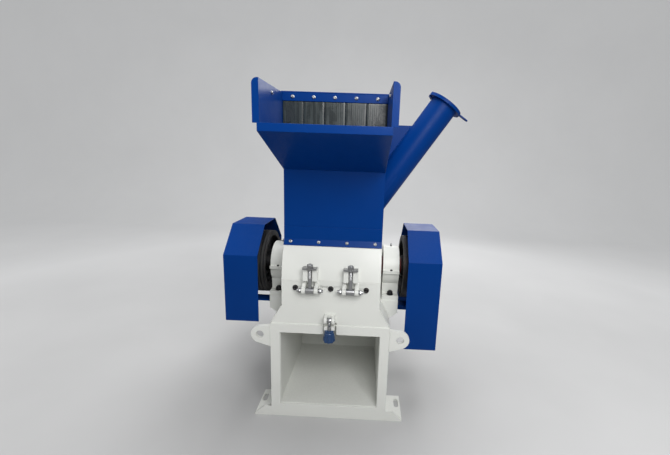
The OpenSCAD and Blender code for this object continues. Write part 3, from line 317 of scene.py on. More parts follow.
def placed(tree, key, values):
    """Puts a shared group into a material with its own values."""
    made = tree.nodes.new("ShaderNodeGroup")
    made.node_tree = GROUPS[key]
    for label, value in values.items():
        made.inputs[label].default_value = value
    return made


def bump(tree, shader, height, strength, distance):
    """Drives the shader's normal from a height."""
    made = node(tree, "ShaderNodeBump",
                {"Height": height, "Strength": strength, "Distance": distance})
    link_all(tree, shader, {"Normal": made.outputs["Normal"]})


def enamel(name, rgb, thin, gloss, dust, bare=PRIMER, wear=0.5, shine=0.4):
    """Enamel over steel, worn to its primer along its edges."""
    made, tree, shader = start_material(name)
    coat = placed(tree, "enamel", {"Color": opaque(rgb), "Thin Color": opaque(rgb, thin),
                                   "Gloss": gloss, "Dust": dust}).outputs
    worn = placed(tree, "wear", {"Width": WEAR_WIDTH, "Amount": wear}).outputs["Mask"]
    link_all(tree, shader, {
        "Base Color": blended(tree, worn, coat["Color"], bare),
        "Roughness": total(tree, coat["Roughness"], product(tree, worn, 0.2)),
    })
    shader.inputs["Specular IOR Level"].default_value = shine
    bump(tree, shader, coat["Height"], 0.05, ENAMEL_DEPTH)
    return made


def metal(name, rgb, gloss, stain, grain, strength=0.12):
    """Bare, plated or blackened metal."""
    made, tree, shader = start_material(name)
    coat = placed(tree, "metal", {"Color": opaque(rgb), "Stain Color": RUST, "Gloss": gloss,
                                  "Stain": stain, "Grain": grain}).outputs
    link_all(tree, shader, {"Base Color": coat["Color"], "Roughness": coat["Roughness"]})
    shader.inputs["Metallic"].default_value = 1.0
    bump(tree, shader, coat["Height"], strength, METAL_DEPTH)
    return made


def moulded(name, rgb, scuff_rgb, gloss, scuff, scale, strength=0.1):
    """Plastic or rubber."""
    made, tree, shader = start_material(name)
    coat = placed(tree, "grain", {"Color": opaque(rgb), "Scuff Color": scuff_rgb, "Gloss": gloss,
                                  "Scuff": scuff, "Scale": scale}).outputs
    link_all(tree, shader, {"Base Color": coat["Color"], "Roughness": coat["Roughness"]})
    bump(tree, shader, coat["Height"], strength, MOULDED_DEPTH)
    return made


def curtain_plastic(name, rgb):
    """Smoked PVC: dark, glossy, with pale greenish streaks that run down the strips."""
    made, tree, shader = start_material(name)
    drawn = stretched(tree, object_place(tree), (60.0, 60.0, 4.0))
    streaks = spread(tree, noise(tree, drawn, 1.0, 5.0, 0.6), 0.42, 0.72)
    coat = placed(tree, "grain", {"Color": opaque(rgb), "Scuff Color": opaque(rgb, 2.2),
                                  "Gloss": 0.2, "Scuff": 0.5, "Scale": 90.0}).outputs
    # Pale streaks, stretched along the height, are mixed into the strips' colour.
    link_all(tree, shader, {
        "Base Color": blended(tree, product(tree, streaks, 0.55), coat["Color"], PALE_STREAK),
        "Roughness": total(tree, coat["Roughness"], product(tree, streaks, 0.25)),
    })
    bump(tree, shader, coat["Height"], 0.2, CURTAIN_DEPTH)
    return made


def build_materials(colours):
    """Makes the shared groups and one material for each of the record's slots."""
    GROUPS.update(enamel=build_enamel_group(), wear=build_wear_group(),
                  metal=build_metal_group(), grain=build_grain_group())
    for make, name, *looks in (
        (enamel, "cream_paint", colours.cream, 0.93, 0.33, 0.16, WORN_CREAM, 0.55),
        (enamel, "blue_paint", colours.blue, 0.9, 0.30, 0.015, WORN_BLUE, 0.4, 0.08),
        (enamel, "motor_paint", colours.motor_blue, 0.8, 0.35, 0.2),
        (enamel, "red_paint", colours.red, 0.8, 0.45, 0.2),
        (metal, "zinc_plate", colours.zinc, 0.22, 0.25, (160.0, 160.0, 420.0)),
        (metal, "ground_steel", colours.steel, 0.28, 0.5, (12.0, 700.0, 700.0), 0.2),
        (metal, "black_steel", colours.black, 0.42, 0.35, (180.0, 180.0, 180.0), 0.3),
        (moulded, "belt_rubber", colours.rubber, RUBBED_RUBBER, 0.6, 0.4, 700.0, 0.25),
        (moulded, "knob_blue", colours.knob, RUBBED_KNOB, 0.25, 0.3, 400.0),
        (curtain_plastic, "curtain_pvc", colours.curtain),
    ):
        MATERIALS[name] = make(name, *looks)


# Pieces.

WELD_GAP = 0.01 * MM
BREAK_ANGLE = 21.0
FACE_WEIGHT = 90


def slot_of(name):
    """The record's material slot of a node."""
    return next(row["material_slot"] for row in frame["record"]["subparts"] if row["node"] == name)


def linked(name, data):
    """A new object of the scene for a mesh, a lamp or a camera."""
    made = bpy.data.objects.new(name, data)
    bpy.context.scene.collection.objects.link(made)
    return made


def shade(data, smooth):
    """Shades a mesh smooth or flat."""
    for face in data.polygons:
        face.use_smooth = smooth


def mesh_object(name, shape, smooth=True):
    """Turns a bmesh into an object."""
    data = bpy.data.meshes.new(name)
    shape.to_mesh(data)
    shape.free()
    shade(data, smooth)
    return linked(name, data)


def paint(piece, slot_name):
    """Gives a piece the material of a slot and no other."""
    piece.data.materials.clear()
    piece.data.materials.append(MATERIALS[slot_name])


def new_piece(name, shape, slot_name, body, smooth=True):
    """Turns a bmesh into a named piece with a slot, on the body that it rides on."""
    bmesh.ops.recalc_face_normals(shape, faces=shape.faces)
    piece = mesh_object(name, shape, smooth)
    paint(piece, slot_name)
    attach(piece, body)
    return piece


def broken_edges(piece, width, segments=2):
    """Rounds a piece's sharp edges with modifiers and shades it smooth."""
    weld = piece.modifiers.new("Weld", "WELD")
    weld.merge_threshold = WELD_GAP
    bevel = piece.modifiers.new("Bevel", "BEVEL")
    bevel.width = width
    bevel.segments = segments
    bevel.limit_method = "ANGLE"
    bevel.angle_limit = math.radians(BREAK_ANGLE)
    shade(piece.data, True)
    normals = piece.modifiers.new("Flat faces", "WEIGHTED_NORMAL")
    normals.mode = "FACE_AREA"
    normals.weight = FACE_WEIGHT


class GRANULATOR_OT_finish(bpy.types.Operator):
    """Paint every CAD node and break its sharp edges"""
    bl_idname = "granulator.finish"
    bl_label = "Finish the frame"

    def execute(self, context):
        scene = context.scene
        build_materials(scene.granulator_colours)
        for name, part in frame["nodes"].items():
            paint(part, slot_of(name))
            broken_edges(part, scene.granulator_seams.edge)
        return {"FINISHED"}


class GRANULATOR_OT_stage(bpy.types.Operator):
    """Set up the floor, the light and the camera"""
    bl_idname = "granulator.stage"
    bl_label = "Stage"

    def execute(self, context):
        build_floor()
        build_light()
        build_camera()
        return {"FINISHED"}


# Floor, light and camera, in metres. A cove joins the floor to the wall, and what the camera
# sees of both is lifted a little with the distance, so that they fade into a pale surround.

FLOOR_NEAR, FLOOR_FAR = -6.0, 6.0
FLOOR_SIDE = 9.0
WALL_TOP = 7.0
COVE_RADIUS = 1.5
COVE_STEPS = 12
FLOOR_TONES = ((0.41, 0.41, 0.41, 1), (0.46, 0.46, 0.46, 1))
FLOOR_GLOW = (0.98, 0.99, 1.0, 1)
GLOW_NEAR, GLOW_FAR = (0.9, 0.02), (4.2, 0.36)  # Distance and strength.

# Name, place, aim, width and power in watts of each lamp.
LAMPS = (
    ("key_light", (0.8, -2.4, 2.5), (0, 0, 1.1), 1.5, 62),
    ("fill_light", (-3.4, -2.2, 3.0), (0, 0, 0.9), 2.4, 22),
    ("top_light", (0.2, 0.6, 4.8), (0, 0.1, 0.9), 3.0, 180),
    ("back_light", (1.2, 3.6, 3.0), (0, 0.2, 0.9), 2.4, 60),
)
SURROUND = (0.93, 0.94, 0.95, 1)
SURROUND_LIGHT, SURROUND_SEEN = 0.20, 0.62  # Strength as a light, and as seen or mirrored.

# The camera as fitted to the photograph: angles in radians, the lens in its pixels.
CAMERA_PLACE = Vector((0.1772, -2.0015, 1.4766))
CAMERA_YAW = -0.0213
CAMERA_PITCH = 0.1960
CAMERA_ROLL = 0.0361
CAMERA_REACH = 60.0
SENSOR_WIDTH = 36.0
PICTURE_WIDTH = 670.0
FOCAL_PIXELS = 334.669
SHIFT = (-0.03653, -0.00371)


def build_floor():
    """A plain pale floor that runs up into a plain wall far behind."""
    shape = bmesh.new()
    cove = FLOOR_FAR - COVE_RADIUS
    profile = [(FLOOR_NEAR, 0.0), (cove, 0.0)]
    for i in range(1, COVE_STEPS + 1):
        angle = i * math.pi / 2 / COVE_STEPS
        profile.append((cove + COVE_RADIUS * math.sin(angle),
                        COVE_RADIUS - COVE_RADIUS * math.cos(angle)))
    profile.append((FLOOR_FAR, WALL_TOP))
    rows = [[shape.verts.new((x, y, z)) for x in (-FLOOR_SIDE, FLOOR_SIDE)] for y, z in profile]
    for a, b in zip(rows, rows[1:]):
        shape.faces.new((a[0], a[1], b[1], b[0]))
    floor = mesh_object("floor", shape)
    material, tree, shader = start_material("floor_paint")
    place = object_place(tree)
    clouds = spread(tree, noise(tree, place, 0.8, 4.0), 0.3, 0.7)
    seen = node(tree, "ShaderNodeLightPath").outputs["Is Camera Ray"]
    away = node(tree, "ShaderNodeVectorMath", {0: place}, operation="LENGTH").outputs["Value"]
    lift = spread(tree, away, GLOW_NEAR[0], GLOW_FAR[0], GLOW_NEAR[1], GLOW_FAR[1])
    shader.inputs["Roughness"].default_value = 0.75
    shader.inputs["Emission Color"].default_value = FLOOR_GLOW
    link_all(tree, shader, {
        "Base Color": blended(tree, clouds, *FLOOR_TONES),
        "Emission Strength": product(tree, seen, lift),
    })
    floor.data.materials.append(material)


def area_light(name, place, aim, size, power):
    """A soft square lamp that points at a place."""
    data = bpy.data.lights.new(name, "AREA")
    data.shape = "SQUARE"
    data.size = size
    data.energy = power
    lamp = linked(name, data)
    lamp.location = place
    lamp.rotation_mode = "QUATERNION"
    lamp.rotation_quaternion = (Vector(aim) - Vector(place)).to_track_quat("-Z", "Y")


def build_light():
    """Soft studio light from above and in front, with a pale surround."""
    for lamp in LAMPS:
        area_light(*lamp)
    world = bpy.data.worlds.new("surround")
    bpy.context.scene.world = world
    world.use_nodes = True
    tree = world.node_tree
    back = tree.nodes["Background"]
    back.inputs["Color"].default_value = SURROUND
    rays = node(tree, "ShaderNodeLightPath").outputs
    seen = joined(tree, "MAXIMUM", rays["Is Camera Ray"], rays["Is Glossy Ray"])
    seen = joined(tree, "MAXIMUM", seen, rays["Is Transmission Ray"])
    strength = spread(tree, seen, 0.0, 1.0, SURROUND_LIGHT, SURROUND_SEEN)
    link_all(tree, back, {"Strength": strength})


def build_camera():
    """The camera at the photograph's place, turn and framing."""
    yaw, pitch, roll = CAMERA_YAW, CAMERA_PITCH, CAMERA_ROLL
    level_reach = math.cos(pitch)
    ahead = Vector((math.sin(yaw) * level_reach, math.cos(yaw) * level_reach, -math.sin(pitch)))
    level = Vector((math.cos(yaw), -math.sin(yaw), 0.0))
    above = level.cross(ahead)
    right = math.cos(roll) * level + math.sin(roll) * above
    upward = -math.sin(roll) * level + math.cos(roll) * above
    data = bpy.data.cameras.new("camera")
    data.sensor_width = SENSOR_WIDTH
    data.lens = FOCAL_PIXELS / PICTURE_WIDTH * SENSOR_WIDTH
    data.shift_x, data.shift_y = SHIFT
    data.clip_end = CAMERA_REACH
    camera = linked("camera", data)
    turn = Matrix((right, upward, -ahead)).transposed().to_4x4()
    camera.matrix_world = Matrix.Translation(CAMERA_PLACE) @ turn
    bpy.context.scene.camera = camera


# Forms. What is no count, angle or length is a share of a form's own radius, but for STEEP,
# the upright part of a direction from which on it no longer counts as level, and for the
# three limits of a hexagon's rings, which are shares of its flats.

STEEP = 0.9
HEX_STEPS = 36
HEX_CHAMFER = 0.12
HEX_FOOT, HEX_FREE, HEX_TOP = 0.97, 2.0, 0.95
WASHER_EDGE = 0.96
THREAD_STEPS = 24
THREAD_ROOT, THREAD_TIP = 0.9, 0.8
BEAD_SIDES = 7
BEAD_VALLEY = 0.86
BEAD_END = 0.5
BEAD_LUCK = (0.94, 1.05)
LUMP_GAP = 0.001 * MM


def at(x, y, z):
    """A place in metres from millimetres."""
    return Vector((x, y, z)) * MM


def in_mm(profile):
    """Radii and heights in metres from millimetres."""
    return [(radius * MM, height * MM) for radius, height in profile]


def square_to(axis):
    """Two directions square to an axis and to each other."""
    axis = Vector(axis).normalized()
    side = axis.cross(UPWARD if abs(axis.z) < STEEP else RIGHTWARD).normalized()
    return side, axis.cross(side)


def round_point(centre, side, up, reach, angle):
    """A point at a reach and an angle from a centre, between two directions."""
    return centre + side * (reach * math.cos(angle)) + up * (reach * math.sin(angle))


def skinned(shape, rings):
    """Joins rings of points into a closed skin."""
    made = [[shape.verts.new(point) for point in ring] for ring in rings]
    for a, b in zip(made, made[1:]):
        for i in range(len(a)):
            j = (i + 1) % len(a)
            shape.faces.new((a[i], a[j], b[j], b[i]))
    shape.faces.new(made[0][::-1])
    shape.faces.new(made[-1])


def turned(shape, place, axis, profile, steps=32, outline=None):
    """Turns radii and heights round an axis; outline scales a radius by angle and height."""
    side, up = square_to(axis)
    axis = Vector(axis).normalized()
    rings = []
    for radius, height in profile:
        ring = []
        for i in range(steps):
            angle = 2 * math.pi * i / steps
            reach = radius * (outline(angle, height) if outline else 1.0)
            ring.append(round_point(place + axis * height, side, up, reach, angle))
        rings.append(ring)
    skinned(shape, rings)


def hexagon(shape, place, axis, corner, height):
    """A hexagon nut or head; corner is its radius, and its ends are round, within the flats."""
    flat = corner * math.cos(math.pi / 6)
    chamfer = HEX_CHAMFER * corner
    limits = {0: HEX_FOOT, chamfer: HEX_FREE, height - chamfer: HEX_FREE, height: HEX_TOP}

    def outline(angle, z):
        return min(1.0 / math.cos((angle % (math.pi / 3)) - math.pi / 6), limits[z])

    turned(shape, place, axis, [(flat, z) for z in limits], HEX_STEPS, outline)


def washer(shape, place, axis, radius, height):
    """A washer with rounded edges."""
    inner = radius * WASHER_EDGE
    turned(shape, place, axis, ((inner, 0), (radius, height * 0.25),
                                (radius, height * 0.75), (inner, height)))


def thread(shape, place, axis, radius, length, pitch):
    """A threaded length as fine grooves."""
    count = max(2, round(length / pitch))
    profile = [(radius * THREAD_ROOT, 0.0)]
    for i in range(count):
        for reach, turn in ((1.0, 0.3), (1.0, 0.5), (THREAD_ROOT, 0.9)):
            profile.append((radius * reach, (i + turn) * length / count))
    profile.append((radius * THREAD_TIP, length))
    turned(shape, place, axis, profile, THREAD_STEPS)


def resampled(path, gap):
    """Points along a path, about one gap apart."""
    points = [Vector(path[0])]
    for a, b in zip(path, path[1:]):
        a, b = Vector(a), Vector(b)
        count = max(1, round((b - a).length / gap))
        points += [a.lerp(b, (i + 1) / count) for i in range(count)]
    return points


def bead(shape, path, luck, radius, ripple):
    """Lays a weld bead with ripples along a path."""
    points = resampled(path, ripple / 2)
    side = None
    rings = []
    for i, point in enumerate(points):
        ahead = (points[min(i + 1, len(points) - 1)] - points[max(i - 1, 0)]).normalized()
        if side is None:
            side, _up = square_to(ahead)
        side = (side - ahead * side.dot(ahead)).normalized()
        up = ahead.cross(side)
        swell = radius * (1.0 if i % 2 else BEAD_VALLEY) * luck.uniform(*BEAD_LUCK)
        if i in (0, len(points) - 1):
            swell *= BEAD_END
        rings.append([round_point(point, side, up, swell, 2 * math.pi * k / BEAD_SIDES)
                      for k in range(BEAD_SIDES)])
    skinned(shape, rings)


def lumps(name):
    """The separate lumps of a CAD node, each as its lowest and highest corners."""
    shape = bmesh.new()
    shape.from_mesh(frame["nodes"][name].data)
    bmesh.ops.remove_doubles(shape, verts=shape.verts, dist=LUMP_GAP)
    left = set(shape.verts)
    found = []
    while left:
        todo = [left.pop()]
        points = []
        while todo:
            vert = todo.pop()
            points.append(vert.co.copy())
            for edge in vert.link_edges:
                other = edge.other_vert(vert)
                if other in left:
                    left.remove(other)
                    todo.append(other)
        found.append(tuple(Vector([pick(point[i] for point in points) for i in range(3)])
                           for pick in (min, max)))
    shape.free()
    return sorted(found, key=lambda pair: tuple(round(value, 4) for value in pair[0]))


def both_sides(*paths):
    """Paths on the right side and their mirror images on the left."""
    return list(paths) + [[(-x, y, z) for x, y, z in path] for path in paths]


# Weld seams. Their places are in millimetres, and the faces that they follow are the CAD's.

BASE_X, BASE_Y, BASE_TOP = 328, 325, 577
FRONT_PLATE_Y = -313
FOOT_TOP = 12
OPENING_X, OPENING_FLOOR = 276, 81
CHAMBER_Y = 318
HOPPER_X, HOPPER_Y = 259, 244
CLAMP_X, CLAMP_Y, CLAMP_Z = 106.5, -353, 788
EAR_SHIFT = 33
EAR_HALF = 10

FINE_BEAD = 2.6 * MM
HOPPER_BEAD = 2.4 * MM

# The side pipe: its foot and radius are in metres, and its rim lies this many millimetres up.
PIPE_FOOT = Vector((0.265, 0.0, 1.307))
PIPE_ANGLE = math.radians(56)
PIPE_AXIS = Vector((math.cos(PIPE_ANGLE), 0.0, math.sin(PIPE_ANGLE)))
PIPE_RADIUS = 79.5 * MM
PIPE_RIM = 574.0
PIPE_STEPS = 48


def seam_piece(name, paths, slot_name, body, seams, radius=None):
    """A piece of weld beads along paths in millimetres."""
    luck = random.Random(SEED + len(name))
    shape = bmesh.new()
    for path in paths:
        bead(shape, [at(*point) for point in path], luck, radius or seams.bead, seams.ripple)
    return new_piece(name, shape, slot_name, body)


def ear_seams():
    """Seams beside the four ears of the clamps and round the ear of the screen lock."""
    paths = []
    for x in (-CLAMP_X, CLAMP_X):
        for ear in (x - EAR_SHIFT, x + EAR_SHIFT):
            for side in (ear - EAR_HALF, ear + EAR_HALF):
                paths.append([(side, -CHAMBER_Y, 759), (side, -CHAMBER_Y, 827)])
    paths += [[(x, -CHAMBER_Y, 606), (x, -CHAMBER_Y, 644)] for x in (-28.5, 28.5)]
    paths += [[(-28, -CHAMBER_Y, z), (28, -CHAMBER_Y, z)] for z in (605, 645)]
    return paths


def base_seams():
    """Name, paths and bead radius of each piece of seams on the base; None is the usual bead."""
    feet = both_sides([(BASE_X, FRONT_PLATE_Y, FOOT_TOP), (BASE_X, -125, FOOT_TOP)],
                      [(330, FRONT_PLATE_Y, FOOT_TOP), (418, FRONT_PLATE_Y, FOOT_TOP)])
    feet += both_sides([(128, BASE_Y, FOOT_TOP), (315, BASE_Y, FOOT_TOP)],
                       [(316, 327, FOOT_TOP), (316, 412, FOOT_TOP)])
    lugs = both_sides([(BASE_X, -305, 441), (BASE_X, -305, 561)],
                      [(329, -BASE_Y, 441), (329, -BASE_Y, 561)])
    chamber = [[(-322, y, BASE_TOP), (322, y, BASE_TOP)] for y in (-CHAMBER_Y, CHAMBER_Y)]
    chamber += both_sides([(265.5, -300, 680), (265.5, 300, 680)],
                          [(325, -CHAMBER_Y, 580), (267, -CHAMBER_Y, 678)])
    opening = [[(x, FRONT_PLATE_Y, OPENING_FLOOR) for x in (-OPENING_X, OPENING_X)]]
    opening += both_sides([(OPENING_X, -312, 84), (OPENING_X, -312, 522)],
                          [(OPENING_X, -300, OPENING_FLOOR), (OPENING_X, 312, OPENING_FLOOR)])
    shelf = [[(-326, BASE_Y, z), (326, BASE_Y, z)] for z in (375, 387)]
    shelf += both_sides(*([(x, BASE_Y, 180), (x, BASE_Y, 374)] for x in (304, 316)))
    pillars = both_sides(*([(BASE_X, y, 558), (BASE_X, y, BASE_TOP)] for y in (-150, 150)))
    pillars += both_sides(*([(329, y, 555), (379, y, 589)] for y in (-149.5, 149.5)))
    return (
        ("welds_feet", feet, None),
        ("welds_lugs", lugs, None),
        ("welds_chamber", chamber, None),
        ("welds_ears", ear_seams(), FINE_BEAD),
        ("welds_opening", opening, FINE_BEAD),
        ("welds_shelf", shelf, None),
        ("welds_pedestals", pillars, FINE_BEAD),
    )


def fork_seams():
    """Seams along the sides and over the top of each clamp's fork."""
    paths = []
    for x in (-CLAMP_X, CLAMP_X):
        paths += [[(x + side, -317.5, 840), (x + side, -304.5, 903)] for side in (-38, 38)]
        paths.append([(x - 37, -304, 905), (x + 37, -304, 905)])
    return paths


def tray_seams():
    """Seams inside the hopper, where its plates meet."""
    return both_sides([(HOPPER_X, -252, 1416), (HOPPER_X, -655, 1571.5)],
                      [(HOPPER_X, -HOPPER_Y, 1100), (HOPPER_X, -HOPPER_Y, 1405)],
                      [(HOPPER_X, HOPPER_Y, 1100), (HOPPER_X, HOPPER_Y, 1775)],
                      [(HOPPER_X, -658, 1576), (HOPPER_X, -658, 1596)])


def pipe_seams():
    """Seams round the side pipe's foot and rim and along its web plate."""
    side = Vector((0, 1, 0))
    up = PIPE_AXIS.cross(side)
    foot, rim = [], []
    for i in range(PIPE_STEPS + 1):
        angle = 2 * math.pi * i / PIPE_STEPS
        offset = round_point(ORIGIN, side, up, PIPE_RADIUS, angle)
        point = PIPE_FOOT + offset - PIPE_AXIS * (offset.x / PIPE_AXIS.x)
        foot.append(tuple(point / MM))
        offset = round_point(ORIGIN, side, up, 1.0, angle) * PIPE_RADIUS
        rim.append(tuple((PIPE_FOOT + PIPE_AXIS * PIPE_RIM * MM + offset) / MM))
    web = [[(265, y, 1452), (265, y, 1668)] for y in (-4, 4)]
    web += [[(268, y, 1454), (410, y, 1664)] for y in (-4.5, 4.5)]
    return [foot, rim] + web


class GRANULATOR_OT_base_welds(bpy.types.Operator):
    """Lay the weld seams of the base and the lower chamber"""
    bl_idname = "granulator.base_welds"
    bl_label = "Base welds"

    def execute(self, context):
        seams = context.scene.granulator_seams
        for name, paths, radius in base_seams():
            seam_piece(name, paths, "cream_paint", "base", seams, radius)
        return {"FINISHED"}


class GRANULATOR_OT_hopper_welds(bpy.types.Operator):
    """Lay the weld seams of the upper chamber, the hopper, the side pipe and the hinges"""
    bl_idname = "granulator.hopper_welds"
    bl_label = "Hopper welds"

    def execute(self, context):
        seams = context.scene.granulator_seams
        seam_piece("welds_forks", fork_seams(), "cream_paint", "upper", seams, FINE_BEAD)
        seam_piece("welds_hopper", tray_seams(), "blue_paint", "upper", seams, HOPPER_BEAD)
        seam_piece("welds_pipe", pipe_seams(), "blue_paint", "upper", seams)
        hinges = both_sides(*([(x, CHAMBER_Y, 770), (x, 333, 800)] for x in (208, 228)))
        seam_piece("welds_hinges", hinges, "cream_paint", "base", seams)
        return {"FINISHED"}


# Fasteners. Profiles are radii and heights in millimetres.

BUTTON_HEAD = ((6.6, 1.4), (7.2, 2.2), (6.8, 4.4), (5.4, 5.6), (2.4, 6.0), (2.2, 4.6))
SOCKET_HEAD = ((11.4, 1.9), (12.0, 2.6), (12.0, 10.6), (11.0, 12.0), (6.6, 12.0), (6.4, 5.0))
CAP_HEAD = ((6.6, 0.0), (7.0, 0.8), (7.0, 5.2), (6.4, 6.0), (3.4, 6.0), (3.3, 3.0))
CLAMP_EYE = ((8.3, 0.0), (16.5, 0.0), (18.0, 1.5), (18.0, 42.5), (16.5, 44.0), (8.3, 44.0))
LOCK_EYE = ((8.3, 0.0), (13.0, 0.0), (14.0, 1.2), (14.0, 21.6), (13.0, 22.8), (8.3, 22.8))
PIN_HEAD = ((6.8, 0.0), (8.0, 1.2), (8.0, 6.0))
CLAMP_SHANK = ((10.0, 0.0), (10.0, 56.0))
LOCK_SHANK = ((8.0, 0.0), (8.0, 22.0))

# How a CAD bolt's box tells what it is: a flat head is thin along its axis, the knife beds'
# bolts lie far out in front and behind, and the housings' nuts stand taller than cap screws.
FLAT_SHARE = 0.4
BED_BOLT_Y = 0.25
CAP_SCREW_TALL = 8.0 * MM

HOPPER_BOLT_SUNK = 3.0 * MM
STRIP_NORMAL = Vector((0, -1, 0.481)).normalized()

CLAMP_PLATE = (75, 33, 9)
CLAMP_PLATE_FOOT = 905.4
CLAMP_NUT_FOOT = 914.5
CLAMP_PIN_HALF = 68.5
M20_NUT, M20_STUD = 18.0 * MM, 10.0 * MM
PIN_NUT = 13.5 * MM
LOCK_Y, LOCK_Z = -355, 625


def hopper_bolt(shape, low, high):
    """A button head on a washer; the CAD bolt's box tells which way it points."""
    mid, size = (low + high) / 2, high - low
    if size.x < FLAT_SHARE * size.z:
        axis = Vector((-1 if mid.x > 0 else 1, 0, 0))
    elif size.y < FLAT_SHARE * size.z:
        axis = FORWARD
    else:
        axis = Vector((0, STRIP_NORMAL.y if mid.y < 0 else -STRIP_NORMAL.y, STRIP_NORMAL.z))
    seat = mid - axis * HOPPER_BOLT_SUNK
    washer(shape, seat, axis, 9.0 * MM, 1.6 * MM)
    turned(shape, seat, axis, in_mm(BUTTON_HEAD))


def frame_bolt(shape, low, high):
    """A knife bed's socket head, a nut on a bearing housing's foot or a bearing cap's screw."""
    mid = (low + high) / 2
    seat = Vector((mid.x, mid.y, low.z))
    if abs(mid.y) > BED_BOLT_Y:
        face = -1 if mid.y < 0 else 1
        axis = Vector((0, face, 0))
        seat = Vector((mid.x, face * CHAMBER_Y * MM, mid.z))
        washer(shape, seat, axis, 15.0 * MM, 2.0 * MM)
        turned(shape, seat, axis, in_mm(SOCKET_HEAD))
    elif high.z - low.z > CAP_SCREW_TALL:
        washer(shape, seat, UPWARD, 20.0 * MM, 3.0 * MM)
        hexagon(shape, seat + at(0, 0, 3), UPWARD, M20_NUT, 15.0 * MM)
        thread(shape, seat + at(0, 0, 17.9), UPWARD, M20_STUD, 7.0 * MM, 2.0 * MM)
    else:
        turned(shape, seat, UPWARD, in_mm(CAP_HEAD))


class GRANULATOR_OT_fasteners(bpy.types.Operator):
    """Put real heads on the hopper's and the frame's bolts"""
    bl_idname = "granulator.fasteners"
    bl_label = "Fasteners"

    def execute(self, context):
        shape = bmesh.new()
        for low, high in lumps("hopper_bolts"):
            hopper_bolt(shape, low, high)
        bolts = new_piece("hopper_bolt_heads", shape, "zinc_plate", "upper")
        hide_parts("hopper_bolts")
        shape = bmesh.new()
        for low, high in lumps("frame_bolts"):
            frame_bolt(shape, low, high)
        bolts = new_piece("frame_bolt_heads", shape, "black_steel", "base")
        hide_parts("frame_bolts")
        return {"FINISHED"}


def clamp_bolt(shape, x):
    """An eye, a shank and a thread, with a square washer plate and a hexagon nut."""
    eye = at(x, CLAMP_Y, CLAMP_Z)
    turned(shape, eye - at(22, 0, 0), RIGHTWARD, in_mm(CLAMP_EYE), 40)
    turned(shape, eye + at(0, 0, 15), UPWARD, in_mm(CLAMP_SHANK))
    thread(shape, eye + at(0, 0, 70), UPWARD, M20_STUD, 76.0 * MM, 2.5 * MM)
    plate = bmesh.ops.create_cube(shape, size=1.0)["verts"]
    middle = at(x, CLAMP_Y, CLAMP_PLATE_FOOT + CLAMP_PLATE[2] / 2)
    bmesh.ops.scale(shape, vec=at(*CLAMP_PLATE), verts=plate)
    bmesh.ops.translate(shape, vec=middle, verts=plate)
    hexagon(shape, at(x, CLAMP_Y, CLAMP_NUT_FOOT), UPWARD, M20_NUT, 15.9 * MM)


def pin_end(shape, x, end):
    """The end of a clamp's pin on one side: its head, a nut and a washer, from the tip inward."""
    tip = at(x + end * CLAMP_PIN_HALF, CLAMP_Y, CLAMP_Z)
    axis = Vector((-end, 0, 0))
    turned(shape, tip, axis, in_mm(PIN_HEAD), 28)
    washer(shape, tip + axis * 22.3 * MM, axis, PIN_NUT, 2.6 * MM)
    hexagon(shape, tip + axis * 9.0 * MM, axis, PIN_NUT, 13.0 * MM)


class GRANULATOR_OT_clamps(bpy.types.Operator):
    """Make the clamps' swing bolts, the nuts on their pins and the screen lock's swing bolt"""
    bl_idname = "granulator.clamps"
    bl_label = "Swing bolts"

    def execute(self, context):
        for name, x in (("left", -CLAMP_X), ("right", CLAMP_X)):
            shape = bmesh.new()
            clamp_bolt(shape, x)
            bolt = new_piece("swing_bolt_" + name, shape, "zinc_plate", "clamp_" + name)
            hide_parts("clamp_bolt_" + name)
            broken_edges(bolt, 0.4 * MM, 1)
        shape = bmesh.new()
        for x in (-CLAMP_X, CLAMP_X):
            for end in (-1, 1):
                pin_end(shape, x, end)
        new_piece("clamp_pin_nuts", shape, "zinc_plate", "base")
        shape = bmesh.new()
        eye = at(0, LOCK_Y, LOCK_Z)
        turned(shape, eye - at(11.4, 0, 0), RIGHTWARD, in_mm(LOCK_EYE), 36)
        turned(shape, eye - at(0, 0, 12), DOWNWARD, in_mm(LOCK_SHANK))
        thread(shape, eye - at(0, 0, 33), DOWNWARD, 8.0 * MM, 84.0 * MM, 2.0 * MM)
        bolt = new_piece("lock_swing_bolt", shape, "zinc_plate", "lock")
        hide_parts("lock_bolt")
        return {"FINISHED"}


# The screen lock's knob. Its profile is in shares of its radius and of its height.

KNOB_PROFILE = ((0.30, 0.0), (0.74, 0.0), (0.91, 0.02), (0.98, 0.06), (0.995, 0.13),
                (0.96, 0.30), (0.90, 0.50), (0.84, 0.68), (0.78, 0.76), (0.74, 0.885),
                (0.70, 0.89), (0.24, 0.89))
KNOB_RADIUS = 33.0
KNOB_LIFT = 11.0 * MM
KNOB_STEPS = 96
FLUTES = 8
FLUTE_DEPTH = 0.2
FLUTE_MIDDLE, FLUTE_HALF = 0.30, 0.48  # Where the flutes are deepest, and how far they run.
FLUTE_FADE = 1.8
FLUTE_SHARPNESS = 0.8
COLLAR = ((8.2, 0.0), (22.0, 0.0), (24.0, 1.4), (24.0, 6.0), (22.6, 7.6), (8.2, 7.6))
COLLAR_FOOT = 0.891


